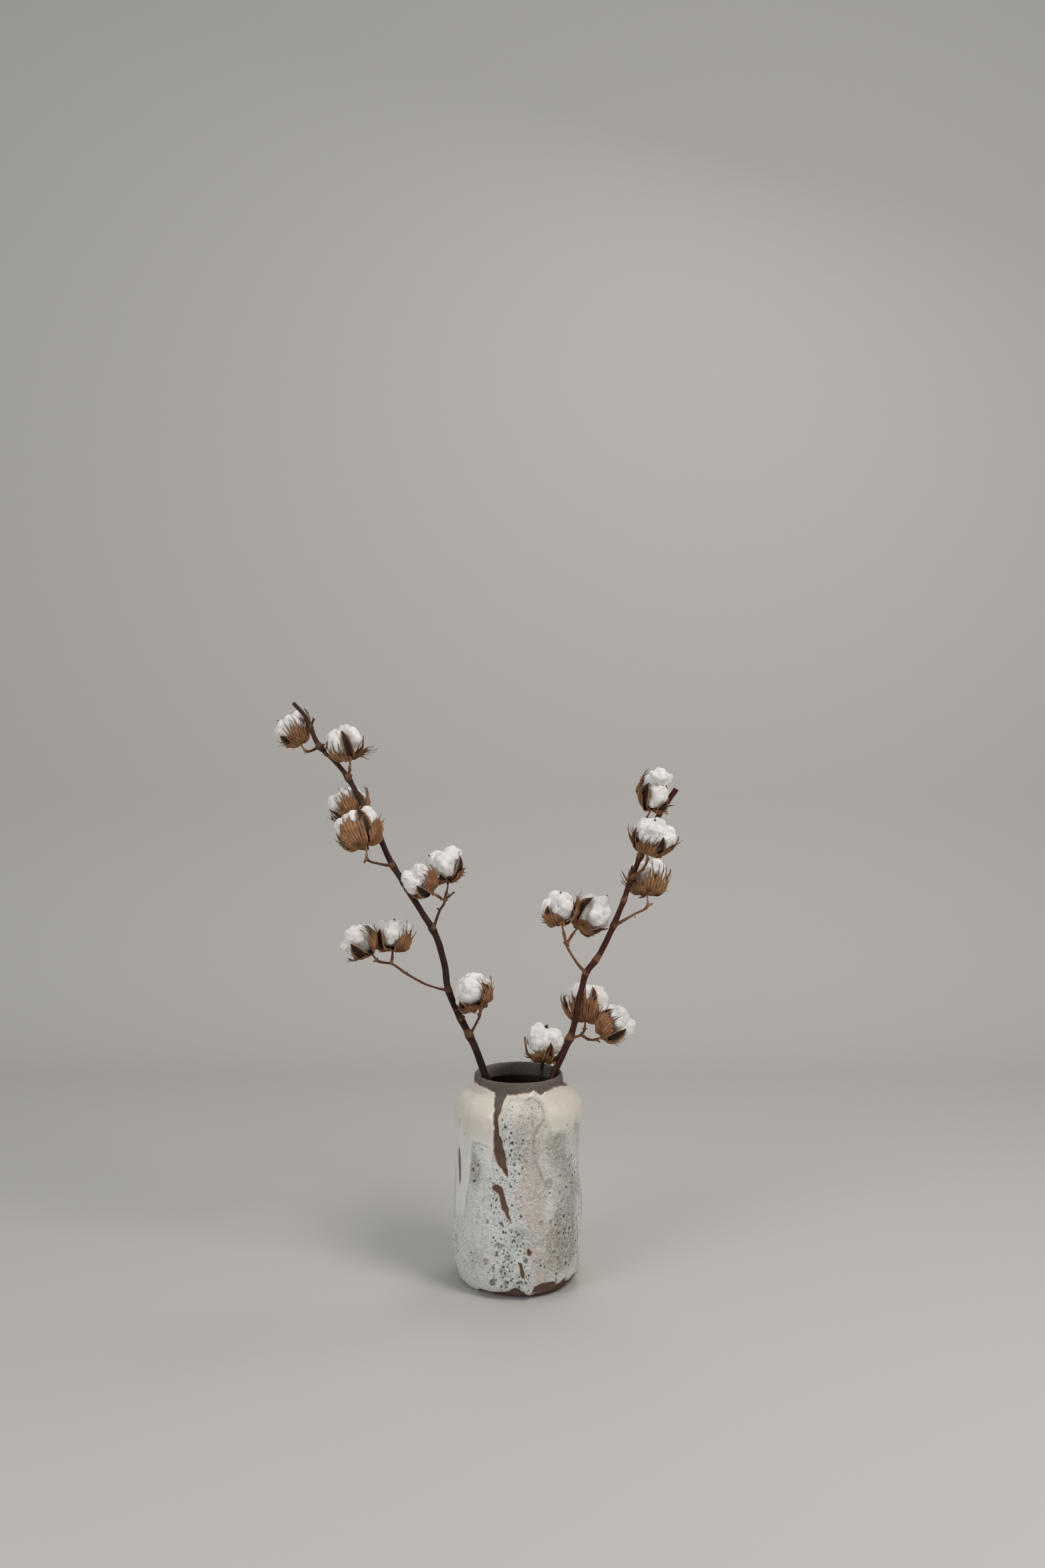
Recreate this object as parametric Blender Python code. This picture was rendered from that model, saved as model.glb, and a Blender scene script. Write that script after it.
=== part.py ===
"""Cotton stems with open bolls, standing in a stoneware vase.

Blender 4.5 script. Every size below is in millimetres; meshes are written in
metres. The origin is the centre of the vase's flat foot, +Z is up, and the
bunch is seen from -Y. Each main stem is one piece with its own twigs and
stalks. Each boll is two pieces: its husk (the dry burr and leafy bracts) and
the cotton that fills it.
"""
import math
from collections import namedtuple

import bmesh
import bpy
from mathutils import Matrix, Vector

MM = 0.001             # millimetres to metres
GAP = 0.35             # clearance left between touching pieces

# Vase
VASE_SEGMENTS = 36
FOOT_RADIUS = 56.0
BODY_RADIUS = 80.5     # widest, low on the body
SHOULDER_RADIUS = 79.6
WAIST_RADIUS = 76.8
NECK_RADIUS = 56.3
MOUTH_RADIUS = 50.0
VASE_HEIGHT = 260.0
SHOULDER_Z = 212.0
NECK_Z = 243.0
WALL = 6.0
FLOOR_Z = 9.0          # top of the vase's floor, inside

# Stems and twigs
STEM_SIDES = 8
TWIG_SIDES = 6
TWIG_RADIUS = 2.3      # where a twig leaves its stem
STALK_RADIUS = 1.7     # where it carries a boll
SEAT_RADIUS = 2.4      # the swollen end under a boll
SEAT_LENGTH = 4.0

# Bolls
COLUMNS = 15           # three to each of the five locks
ROWS = [30, 58, 82, 108, 135, 158]   # degrees up from the base of the boll
HUSK_ROWS_LOCK = 2     # the husk is low over a lock of cotton
HUSK_ROWS_VALVE = 3    # and rises between two locks
HUSK_THICKNESS = 1.5
VALVE_FLARE = 1.6      # how far a valve's tip stands out
LOCK_DEPTH = 0.10      # how deep the grooves between the locks are

COLOURS = {
    "clay": (0.30, 0.27, 0.23),
    "bark_dark": (0.06, 0.04, 0.035),
    "bark_red": (0.12, 0.065, 0.045),
    "husk": (0.24, 0.14, 0.08),
    "cotton": (0.85, 0.83, 0.80),
}

# Each main stem: points along its middle, from its foot in the vase to its
# cut tip, as (x, y, z, radius).
LEFT_STEM = [
    (60, -4, 15, 4.9), (28, -9, 92, 4.9), (-8, -15, 182, 4.8),
    (-41, -20, 260, 4.6), (-56, -21, 300, 4.5), (-72, -21, 331, 4.3),
    (-87, -22, 367, 4.5), (-94, -22, 407, 4.2), (-105, -22, 440, 4.3),
    (-120, -22, 464, 4.0), (-143, -20, 500, 3.9), (-157, -19, 522, 4.1),
    (-177, -17, 566, 3.7), (-197, -15, 602, 3.4), (-218, -13, 638, 3.2),
    (-233, -12, 655, 3.1), (-249, -11, 670, 3.3), (-267, -9, 707, 2.9),
    (-283, -8, 725, 2.8),
]
RIGHT_STEM = [
    (-22, 24, 12, 4.9), (0, 14, 100, 4.9), (22, 6, 178, 4.8),
    (45, -3, 258, 4.5), (56, -4, 284, 4.4), (66, -5, 308, 4.5),
    (79, -7, 365, 3.9), (85, -8, 386, 4.2), (97, -8, 402, 3.9),
    (120, -8, 447, 3.7), (132, -8, 477, 3.4), (142, -7, 505, 3.7),
    (156, -6, 539, 3.4), (174, -5, 579, 3.3), (199, -4, 616, 3.5),
]
# The short stem is a plain stalk with one boll: its points end under it.
SHORT_STEM = [
    (12, 52, 12, 2.4), (19, 32, 130, 2.4), (25, 14, 225, 2.3), (28, 10, 254, 2.2),
]

Boll = namedtuple("Boll", "number stem twig seat centre width top")

# Each boll: the points of its twig from the stem outwards, the point under
# the boll where the stalk ends, the middle of its cotton, its width across
# the locks, and the height of its cotton over the middle.
BOLLS = [
    Boll(1, "left_stem", [(-249, -11, 670), (-267, -5, 664)],
         (-275, 1, 674), (-285, 5, 693), 42, 19),
    Boll(2, "left_stem", [(-213, -14, 631), (-211, -15, 643)],
         (-212, -15, 656), (-217, -19, 675), 45, 24),
    Boll(3, "left_stem", [(-193, -16, 596), (-198, -8, 583)],
         (-204, 2, 578), (-214, 6, 596), 46, 22),
    Boll(4, "left_stem", [(-157, -19, 522), (-173, -34, 526), (-186, -48, 534)],
         (-188, -51, 551), (-196, -44, 570), 52, 23),
    Boll(5, "left_stem", [(-106, -22, 443), (-98, -26, 467), (-92, -31, 480),
                          (-100, -34, 486)],
         (-110, -37, 493), (-121, -43, 506), 40, 23),
    Boll(6, "left_stem", [(-92, -31, 480), (-90, -23, 488)],
         (-89, -14, 502), (-92, -9, 522), 44, 23),
    Boll(7, "left_stem", [(-87, -22, 367), (-98, -23, 369), (-121, -25, 378),
                          (-140, -26, 389), (-158, -27, 401), (-175, -28, 405)],
         (-184, -30, 416), (-198, -34, 431), 42, 22),
    Boll(8, "left_stem", [(-158, -27, 401), (-157, -25, 408)],
         (-157, -23, 418), (-157, -19, 435), 44, 20),
    Boll(9, "left_stem", [(-61, -21, 311), (-53, -26, 326), (-48, -31, 340)],
         (-50, -34, 353), (-58, -38, 369), 48, 23),
    Boll(10, "right_stem", [(152, -6, 532), (157, -9, 561), (160, -14, 580)],
         (165, -19, 592), (173, -24, 615), 45, 32),
    Boll(11, "right_stem", [(142, -7, 505), (155, -19, 517), (160, -28, 530)],
         (161, -33, 543), (168, -39, 562), 50, 22),
    Boll(12, "right_stem", [(120, -8, 445), (144, -2, 458), (163, 6, 468)],
         (163, 12, 484), (163, 20, 502), 50, 24),
    Boll(13, "right_stem", [(85, -8, 385), (71, -8, 402), (60, -9, 422),
                            (57, -10, 436)],
         (54, -11, 449), (50, -14, 468), 42, 22),
    Boll(14, "right_stem", [(60, -9, 422), (68, -6, 434)],
         (75, -3, 442), (92, 3, 458), 45, 28),
    Boll(15, "right_stem", [(65, -5, 304), (79, 3, 306), (84, 12, 311)],
         (85, 20, 320), (87, 27, 340), 52, 25),
    Boll(16, "right_stem", [(79, 3, 306), (89, -2, 301), (98, -6, 302)],
         (105, -8, 307), (122, -8, 324), 46, 22),
    Boll(17, "short_stem", [], (31, 9, 272), (33, 11.5, 293), 48, 26),
]


def material(name):
    """A plain dry surface in one of the named colours."""
    found = bpy.data.materials.get(name)
    if found:
        return found
    made = bpy.data.materials.new(name)
    made.use_nodes = True
    shader = made.node_tree.nodes["Principled BSDF"]
    shader.inputs["Base Color"].default_value = (*COLOURS[name], 1.0)
    shader.inputs["Roughness"].default_value = 0.8
    shader.inputs["Metallic"].default_value = 0.0
    return made


def make_object(name, bm, material_name):
    """Turn a bmesh in millimetres into a smooth object in metres."""
    bmesh.ops.scale(bm, vec=(MM, MM, MM), verts=bm.verts)
    bmesh.ops.recalc_face_normals(bm, faces=bm.faces)
    mesh = bpy.data.meshes.new(name)
    bm.to_mesh(mesh)
    bm.free()
    mesh.materials.append(material(material_name))
    mesh.shade_smooth()
    obj = bpy.data.objects.new(name, mesh)
    bpy.context.scene.collection.objects.link(obj)
    return obj


def bridge(bm, lower, upper):
    """Faces between two closed rings of the same number of points."""
    count = len(lower)
    for i in range(count):
        j = (i + 1) % count
        bm.faces.new((lower[i], lower[j], upper[j], upper[i]))


def cap(bm, ring, pole):
    """A fan of triangles from a closed ring to one point."""
    for i in range(len(ring)):
        bm.faces.new((ring[i], ring[(i + 1) % len(ring)], pole))


# ---------------------------------------------------------------- the vase

def vase_profile():
    """Radius and height from the foot's edge, over the rim, to the floor."""
    inner_waist = WAIST_RADIUS - WALL
    return [
        (FOOT_RADIUS, 0), (66, 4), (72, 10), (76.5, 20), (79.5, 38),
        (BODY_RADIUS, 64), (79.6, 95), (77.6, 130), (WAIST_RADIUS, 168),
        (77.8, 192), (SHOULDER_RADIUS, SHOULDER_Z), (78.4, 224), (73, 233.5),
        (64, 239.5), (NECK_RADIUS, NECK_Z), (NECK_RADIUS - 0.5, 255.5),
        (53, VASE_HEIGHT),
        (MOUTH_RADIUS, 256.5), (MOUTH_RADIUS, 243), (62, 234),
        (72, 224), (SHOULDER_RADIUS - WALL, SHOULDER_Z), (inner_waist, 168),
        (73.4, 100), (BODY_RADIUS - WALL, 64), (72.5, 35), (69, 20), (60, 11.5),
    ]


def build_vase():
    bm = bmesh.new()
    rings = []
    for radius, z in vase_profile():
        ring = []
        for i in range(VASE_SEGMENTS):
            turn = 2 * math.pi * i / VASE_SEGMENTS
            ring.append(bm.verts.new((radius * math.cos(turn), radius * math.sin(turn), z)))
        rings.append(ring)
    for lower, upper in zip(rings, rings[1:]):
        bridge(bm, lower, upper)
    cap(bm, list(reversed(rings[0])), bm.verts.new((0, 0, 0)))
    cap(bm, rings[-1], bm.verts.new((0, 0, FLOOR_Z)))
    return make_object("vase", bm, "clay")


# --------------------------------------------------------------- the stems

def tube_mesh(points, radii, sides):
    """A closed tube through the points, its rings turned without twist."""
    bm = bmesh.new()
    points = [Vector(p) for p in points]
    side = Vector((0, 1, 0))
    rings = []
    for i, (point, radius) in enumerate(zip(points, radii)):
        ahead = points[min(i + 1, len(points) - 1)] - points[max(i - 1, 0)]
        ahead.normalize()
        side = (side - ahead * side.dot(ahead)).normalized()
        across = ahead.cross(side)
        ring = []
        for k in range(sides):
            turn = 2 * math.pi * k / sides
            offset = side * math.cos(turn) + across * math.sin(turn)
            ring.append(bm.verts.new(point + offset * radius))
        rings.append(ring)
    for lower, upper in zip(rings, rings[1:]):
        bridge(bm, lower, upper)
    cap(bm, list(reversed(rings[0])), bm.verts.new(points[0]))
    cap(bm, rings[-1], bm.verts.new(points[-1]))
    return bm


def boll_axis(boll):
    return (Vector(boll.centre) - Vector(boll.seat)).normalized()


def twig_tube(boll):
    """The twig and stalk of one boll, ending square under it."""
    seat = Vector(boll.seat)
    points = [Vector(p) for p in boll.twig]
    points += [seat - boll_axis(boll) * SEAT_LENGTH, seat]
    last = len(points) - 1
    radii = [TWIG_RADIUS + (STALK_RADIUS - TWIG_RADIUS) * i / last for i in range(last + 1)]
    radii[-1] = SEAT_RADIUS
    return make_object(f"twig_{boll.number:02d}", tube_mesh(points, radii, TWIG_SIDES), "bark_dark")


def join_twigs(stem, twigs):
    """Unite a stem with its twigs, and leave one plain mesh."""
    for twig in twigs:
        union = stem.modifiers.new(twig.name, "BOOLEAN")
        union.operation = "UNION"
        union.solver = "EXACT"
        union.object = twig
    depsgraph = bpy.context.evaluated_depsgraph_get()
    joined = bpy.data.meshes.new_from_object(stem.evaluated_get(depsgraph))
    stem.modifiers.clear()
    stem.data = joined
    joined.name = stem.name
    joined.shade_smooth()
    for twig in twigs:
        bpy.data.objects.remove(twig)


def build_stem(name, route, material_name):
    points = [p[:3] for p in route]
    radii = [p[3] for p in route]
    stem = make_object(name, tube_mesh(points, radii, STEM_SIDES), material_name)
    join_twigs(stem, [twig_tube(boll) for boll in BOLLS if boll.stem == name])


def build_short_stem():
    boll = next(b for b in BOLLS if b.stem == "short_stem")
    seat = Vector(boll.seat)
    points = [Vector(p[:3]) for p in SHORT_STEM]
    points += [seat - boll_axis(boll) * SEAT_LENGTH, seat]
    radii = [p[3] for p in SHORT_STEM] + [STALK_RADIUS, SEAT_RADIUS]
    make_object("short_stem", tube_mesh(points, radii, TWIG_SIDES), "bark_dark")


# --------------------------------------------------------------- the bolls

def cotton_radius(boll, depth, column, degrees):
    """Distance from the boll's middle to the cotton, in one direction."""
    rise = math.radians(degrees)
    outward, upward = math.sin(rise), -math.cos(rise)
    end = boll.top if upward > 0 else depth
    plain = 1 / math.sqrt((outward / (boll.width / 2)) ** 2 + (upward / end) ** 2)
    crest = (1 + math.cos(2 * math.pi * column / 3)) / 2
    return plain * (1 - LOCK_DEPTH * outward ** 2 * (1 - crest))


def boll_turn(boll):
    """The matrix that stands a boll's +Z on its axis, at its middle."""
    axis = boll_axis(boll)
    turn = axis.to_track_quat("Z", "Y").to_matrix().to_4x4()
    spin = Matrix.Rotation(boll.number * 0.7, 4, "Z")
    return Matrix.Translation(Vector(boll.centre)) @ turn @ spin


def boll_point(bm, place, column, degrees, radius):
    rise = math.radians(degrees)
    turn = 2 * math.pi * column / COLUMNS
    flat = radius * math.sin(rise)
    local = Vector((flat * math.cos(turn), flat * math.sin(turn), -radius * math.cos(rise)))
    return bm.verts.new(place @ local)


def build_cotton(boll, place, depth):
    bm = bmesh.new()
    rings = []
    for degrees in ROWS:
        rings.append([boll_point(bm, place, c, degrees, cotton_radius(boll, depth, c, degrees))
                      for c in range(COLUMNS)])
    for lower, upper in zip(rings, rings[1:]):
        bridge(bm, lower, upper)
    cap(bm, list(reversed(rings[0])), boll_point(bm, place, 0, 0, depth))
    cap(bm, rings[-1], boll_point(bm, place, 0, 180, boll.top))
    make_object(f"boll_{boll.number:02d}_cotton", bm, "cotton")


def husk_sheet(bm, place, boll, depth, lift, flare):
    """One side of the husk: a pole and its columns of points."""
    pole = boll_point(bm, place, 0, 0, depth + lift)
    columns = []
    for c in range(COLUMNS):
        rows = HUSK_ROWS_LOCK if c % 3 == 0 else HUSK_ROWS_VALVE
        column = [pole]
        for row in range(rows):
            radius = cotton_radius(boll, depth, c, ROWS[row]) + lift
            if row == HUSK_ROWS_VALVE - 1:
                radius += flare
            column.append(boll_point(bm, place, c, ROWS[row], radius))
        columns.append(column)
    return columns


def fill_sheet(bm, columns, outwards):
    """Faces between each column of points and the next, longer or shorter."""
    for c in range(COLUMNS):
        left, right = columns[c], columns[(c + 1) % COLUMNS]
        shared = min(len(left), len(right))
        faces = [(left[0], left[1], right[1])]
        faces += [(left[i], left[i + 1], right[i + 1], right[i]) for i in range(1, shared - 1)]
        if len(left) > shared:
            faces.append((left[shared - 1], left[shared], right[shared - 1]))
        if len(right) > shared:
            faces.append((left[shared - 1], right[shared], right[shared - 1]))
        for face in faces:
            bm.faces.new(face if outwards else tuple(reversed(face)))


def build_husk(boll, place, depth):
    bm = bmesh.new()
    inner = husk_sheet(bm, place, boll, depth, GAP, 0.0)
    outer = husk_sheet(bm, place, boll, depth, GAP + HUSK_THICKNESS, VALVE_FLARE)
    fill_sheet(bm, outer, True)
    fill_sheet(bm, inner, False)
    for c in range(COLUMNS):
        d = (c + 1) % COLUMNS
        bm.faces.new((outer[c][-1], inner[c][-1], inner[d][-1], outer[d][-1]))
    make_object(f"boll_{boll.number:02d}_husk", bm, "husk")


def build_boll(boll):
    """A boll's husk stands GAP over its stalk, and the cotton GAP in the husk."""
    reach = (Vector(boll.centre) - Vector(boll.seat)).length
    depth = reach - GAP - HUSK_THICKNESS - GAP
    place = boll_turn(boll)
    build_husk(boll, place, depth)
    build_cotton(boll, place, depth)


def main():
    for obj in list(bpy.data.objects):
        bpy.data.objects.remove(obj)
    build_vase()
    build_stem("left_stem", LEFT_STEM, "bark_dark")
    build_stem("right_stem", RIGHT_STEM, "bark_red")
    build_short_stem()
    for boll in BOLLS:
        build_boll(boll)


main()
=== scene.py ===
# %% [markdown]
# # Dried cotton in a stoneware vase
# A bunch of three cotton stems stands in a wide-mouthed vase. The sizes and
# places come from a frame that is loaded first; the looks are made here. Each
# step says what the piece is, how it could be made, and why it is made so.
# All shapes are worked out in millimetres and turned into metres when they
# become meshes.

# %% Load the frame
import math
from collections import namedtuple

import bmesh
import bpy
import numpy as np
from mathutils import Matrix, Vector, kdtree


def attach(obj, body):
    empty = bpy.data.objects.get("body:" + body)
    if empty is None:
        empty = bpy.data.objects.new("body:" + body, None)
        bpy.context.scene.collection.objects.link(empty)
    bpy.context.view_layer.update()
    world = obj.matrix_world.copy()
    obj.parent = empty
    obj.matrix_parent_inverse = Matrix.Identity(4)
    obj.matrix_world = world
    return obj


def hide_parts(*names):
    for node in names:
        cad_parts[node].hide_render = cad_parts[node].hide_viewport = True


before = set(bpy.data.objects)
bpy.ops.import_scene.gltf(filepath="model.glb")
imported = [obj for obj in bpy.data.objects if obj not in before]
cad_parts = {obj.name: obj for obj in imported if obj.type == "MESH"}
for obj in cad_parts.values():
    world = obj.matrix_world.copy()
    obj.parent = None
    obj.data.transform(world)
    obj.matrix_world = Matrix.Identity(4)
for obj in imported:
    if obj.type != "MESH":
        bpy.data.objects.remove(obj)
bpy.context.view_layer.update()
MM = 0.001


# %% [markdown]
# ## Camera, floor and light
# The bunch is seen from the front with a level wide lens. A level camera keeps
# the vase upright in the picture; the lens is slid down a little instead of
# being tipped. The floor is one pale sheet that curves up behind, so there is
# no line between floor and wall. A large lamp high on the right gives soft
# shadows, a weaker and wider one on the left keeps the far side readable, and
# a small one above and behind edges the bolls.

# %% Camera
CAMERA_PLACE = (0.005, -1.921, 0.749)
CAMERA_LENS = 35
CAMERA_SLIDE = -0.064

scene = bpy.context.scene
lens = bpy.data.cameras.new("camera")
lens.lens = CAMERA_LENS
lens.shift_y = CAMERA_SLIDE
camera = bpy.data.objects.new("camera", lens)
camera.location = CAMERA_PLACE
camera.rotation_euler = (math.pi / 2, 0, 0)
scene.collection.objects.link(camera)
scene.camera = camera
scene.view_settings.view_transform = "Standard"
print("camera at", CAMERA_PLACE, "lens", CAMERA_LENS)


# %% Colours as the eye names them
def rgb(red, green, blue):
    """A colour given as 0 to 255 on a screen, as the linear light that shaders use."""
    linear = []
    for value in (red, green, blue):
        value = value / 255
        linear.append(value / 12.92 if value <= 0.04045 else ((value + 0.055) / 1.055) ** 2.4)
    return (*linear, 1.0)


print("middle grey is this much light:", round(rgb(128, 128, 128)[0], 3))


# %% Floor and backdrop
FLOOR_FRONT, FLOOR_BACK, WALL_TOP = -2.6, 1.0, 2.6
FLOOR_HALF_WIDTH = 3.2
CURVE_RADIUS = 0.5


def backdrop_line():
    """The floor's side view: flat, a quarter circle, then straight up."""
    line = [(FLOOR_FRONT, 0.0)]
    for i in range(13):
        turn = math.pi / 2 * i / 12
        line.append((FLOOR_BACK + CURVE_RADIUS * math.sin(turn),
                     CURVE_RADIUS * (1 - math.cos(turn))))
    line.append((FLOOR_BACK + CURVE_RADIUS, WALL_TOP))
    return line


def paper_material():
    material = bpy.data.materials.new("backdrop_paper")
    material.use_nodes = True
    shader = material.node_tree.nodes["Principled BSDF"]
    shader.inputs["Base Color"].default_value = rgb(186, 182, 177)
    shader.inputs["Roughness"].default_value = 0.9
    return material


line = backdrop_line()
corners = [(side * FLOOR_HALF_WIDTH, y, z) for y, z in line for side in (-1, 1)]
strips = [(2 * i, 2 * i + 1, 2 * i + 3, 2 * i + 2) for i in range(len(line) - 1)]
paper = bpy.data.meshes.new("backdrop")
paper.from_pydata(corners, [], strips)
paper.materials.append(paper_material())
paper.shade_smooth()
backdrop = bpy.data.objects.new("backdrop", paper)
scene.collection.objects.link(backdrop)
print("backdrop strips:", len(strips))


# %% Lamps
def lamp(name, place, aim, size, watts, colour):
    data = bpy.data.lights.new(name, "AREA")
    data.shape = "DISK"
    data.size = size
    data.energy = watts
    data.color = colour
    light = bpy.data.objects.new(name, data)
    light.location = place
    light.rotation_euler = (Vector(aim) - Vector(place)).to_track_quat("-Z", "Y").to_euler()
    scene.collection.objects.link(light)


lamp("window", (1.35, -1.25, 2.15), (0, 0, 0.35), 1.0, 35, (1.0, 0.98, 0.95))
lamp("reflector", (-1.7, -1.9, 1.2), (0, 0, 0.35), 1.5, 22, (0.97, 0.98, 1.0))
lamp("rim_light", (0.5, 0.55, 2.2), (0, 0, 0.3), 0.7, 7, (1.0, 0.99, 0.97))

world = bpy.data.worlds.new("room")
world.use_nodes = True
world.node_tree.nodes["Background"].inputs["Color"].default_value = (0.92, 0.96, 1.0, 1.0)
world.node_tree.nodes["Background"].inputs["Strength"].default_value = 0.42
scene.world = world
print("lamps:", [light.name for light in scene.objects if light.type == "LIGHT"])


# %% [markdown]
# ## Tools for natural shapes
# Nature never repeats, so almost every surface here is moved by soft random
# hills. They come from a small noise function that works on whole arrays at
# once: each corner of a grid gets a random height, and the heights are blended
# smoothly in between. The same seed always gives the same hills.

# %% Random hills
def hills(points, spacing, seed, octaves=1):
    """Smooth random heights, about -1 to 1, for points in millimetres."""
    total = np.zeros(len(points))
    size, weight = spacing, 1.0
    for octave in range(octaves):
        total += weight * one_noise(points / size, seed + 31 * octave)
        size, weight = size / 2.1, weight / 2
    return total


def one_noise(where, seed):
    cell = np.floor(where).astype(np.int64)
    part = where - cell
    blend = part * part * part * (part * (part * 6 - 15) + 10)
    total = np.zeros(len(where))
    for dx in (0, 1):
        for dy in (0, 1):
            for dz in (0, 1):
                height = corner_height(cell + (dx, dy, dz), seed)
                share = np.abs(1 - dx - blend[:, 0]) * np.abs(1 - dy - blend[:, 1])
                total += height * share * np.abs(1 - dz - blend[:, 2])
    return total


def corner_height(cell, seed):
    mixed = cell[:, 0] * 374761393 + cell[:, 1] * 668265263 + cell[:, 2] * 1440662683 + seed * 974634777
    mixed = (mixed ^ (mixed >> 13)) * 1274126177
    mixed = mixed ^ (mixed >> 16)
    return (mixed & 0xFFFF) / 32767.5 - 1


def ease(low, high, values):
    """0 below low, 1 above high, and a smooth step between."""
    t = np.clip((values - low) / (high - low), 0, 1)
    return t * t * (3 - 2 * t)


def between(first, second, share):
    """The first value where share is 0, the second where it is 1."""
    return first * (1 - share) + second * share


print("some hills:", hills(np.eye(3) * 10, 9, 1).round(2))


# %% Smooth paths
def smooth_path(knots, step):
    """Points about a step apart on a smooth curve through the knots."""
    knots = np.array(knots, dtype=float)
    lengths = np.linalg.norm(np.diff(knots[:, :3], axis=0), axis=1)
    times = np.concatenate([[0], np.cumsum(lengths)])
    slopes = np.gradient(knots, times, axis=0)
    wanted = np.linspace(0, times[-1], max(3, int(times[-1] / step) + 1))
    index = np.clip(np.searchsorted(times, wanted, side="right") - 1, 0, len(times) - 2)
    span = (times[index + 1] - times[index])[:, None]
    t = (wanted - times[index])[:, None] / span
    a, b = knots[index], knots[index + 1]
    sa, sb = slopes[index] * span, slopes[index + 1] * span
    t2, t3 = t * t, t * t * t
    return (2 * t3 - 3 * t2 + 1) * a + (t3 - 2 * t2 + t) * sa + (3 * t2 - 2 * t3) * b + (t3 - t2) * sb


# %% Meshes from arrays
def grid_quads(rows, columns, wrap=False):
    """Corner numbers of the faces of a grid whose points are stored row by row."""
    across = columns if wrap else columns - 1
    r, c = np.meshgrid(np.arange(rows - 1), np.arange(across), indexing="ij")
    first = (r * columns + c).ravel()
    right = (r * columns + (c + 1) % columns).ravel()
    return np.stack([first, right, right + columns, first + columns], axis=1)


def mesh_from(name, points, faces):
    """A smooth mesh in metres from points in millimetres and lists of corners."""
    mesh = bpy.data.meshes.new(name)
    mesh.from_pydata((np.asarray(points) * MM).tolist(), [], [list(map(int, f)) for f in faces])
    mesh.shade_smooth()
    return mesh


def mesh_points(mesh):
    flat = np.empty(len(mesh.vertices) * 3)
    mesh.vertices.foreach_get("co", flat)
    return flat.reshape(-1, 3) / MM


def mesh_normals(mesh):
    flat = np.empty(len(mesh.vertices) * 3)
    mesh.vertex_normals.foreach_get("vector", flat)
    return flat.reshape(-1, 3)


def move_points(mesh, points):
    mesh.vertices.foreach_set("co", (points * MM).ravel())
    mesh.update()


def set_number(mesh, name, values):
    layer = mesh.attributes.new(name, "FLOAT", "POINT")
    layer.data.foreach_set("value", np.asarray(values, dtype=np.float32))


def set_vector(mesh, name, vectors):
    layer = mesh.attributes.new(name, "FLOAT_VECTOR", "POINT")
    layer.data.foreach_set("vector", np.asarray(vectors, dtype=np.float32).ravel())


def set_colour(mesh, name, colours):
    full = np.ones((len(colours), 4), dtype=np.float32)
    full[:, :3] = np.asarray(colours)[:, :3]
    layer = mesh.attributes.new(name, "FLOAT_COLOR", "POINT")
    layer.data.foreach_set("color", full.ravel())


def object_from(name, mesh):
    made = bpy.data.objects.new(name, mesh)
    scene.collection.objects.link(made)
    return made


def voxel_union(name, mesh, voxel):
    """One closed skin round everything in a mesh, made of small even faces."""
    rough = object_from(name, mesh)
    skin = rough.modifiers.new("skin", "REMESH")
    skin.mode = "VOXEL"
    skin.voxel_size = voxel * MM
    depsgraph = bpy.context.evaluated_depsgraph_get()
    result = bpy.data.meshes.new_from_object(rough.evaluated_get(depsgraph))
    bpy.data.objects.remove(rough)
    result.shade_smooth()
    result.name = name
    return result


def soften(mesh, rounds, strength=0.5):
    """Pull each point towards the middle of its neighbours."""
    points = mesh_points(mesh)
    edges = np.empty(len(mesh.edges) * 2, dtype=np.int32)
    mesh.edges.foreach_get("vertices", edges)
    a, b = edges[0::2], edges[1::2]
    count = np.bincount(np.concatenate([a, b]), minlength=len(points))[:, None]
    for _ in range(rounds):
        total = np.zeros_like(points)
        for axis in range(3):
            total[:, axis] = (np.bincount(a, points[b, axis], len(points))
                              + np.bincount(b, points[a, axis], len(points)))
        points += strength * (total / np.maximum(count, 1) - points)
    move_points(mesh, points)


print("tools ready")


# %% [markdown]
# ## Shared shader groups
# Three effects are used by more than one finish, so each is a node group that
# is built once. `Speckle` scatters small dark or light grains, as in clay and
# glaze. `Long grain` draws fibres along a stored direction, as on bark and on
# dry leaves. `Blotch` gives slow clouds that keep any colour from being flat.

# %% Group helpers
def new_group(name, inputs, outputs):
    """An empty shader group; inputs are (name, kind, value), outputs (name, kind)."""
    group = bpy.data.node_groups.new(name, "ShaderNodeTree")
    for label, kind, value in inputs:
        socket = group.interface.new_socket(label, in_out="INPUT", socket_type=kind)
        if value is not None:
            socket.default_value = value
    for label, kind in outputs:
        group.interface.new_socket(label, in_out="OUTPUT", socket_type=kind)
    return group, group.nodes.new("NodeGroupInput"), group.nodes.new("NodeGroupOutput")


def feed(tree, socket, value):
    """Give an input its value: another socket's, or a plain one."""
    if isinstance(value, bpy.types.NodeSocket):
        tree.links.new(value, socket)
    else:
        socket.default_value = value


def dress(tree, made, **inputs):
    """Feed inputs by name; a name like _0 is a place in the list."""
    for key, value in inputs.items():
        label = int(key[1:]) if key[0] == "_" else key.replace("_", " ")
        feed(tree, made.inputs[label], value)
    return made


def node(tree, kind, settings=None, **inputs):
    """A node with its settings and inputs; an input is a value or another socket."""
    made = tree.nodes.new(kind)
    for key, value in (settings or {}).items():
        setattr(made, key, value)
    return dress(tree, made, **inputs)


def maths(tree, operation, first, second=0.0):
    return node(tree, "ShaderNodeMath", {"operation": operation}, _0=first, _1=second).outputs[0]


def times(tree, first, second):
    return maths(tree, "MULTIPLY", first, second)


def plus(tree, first, second):
    return maths(tree, "ADD", first, second)


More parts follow.
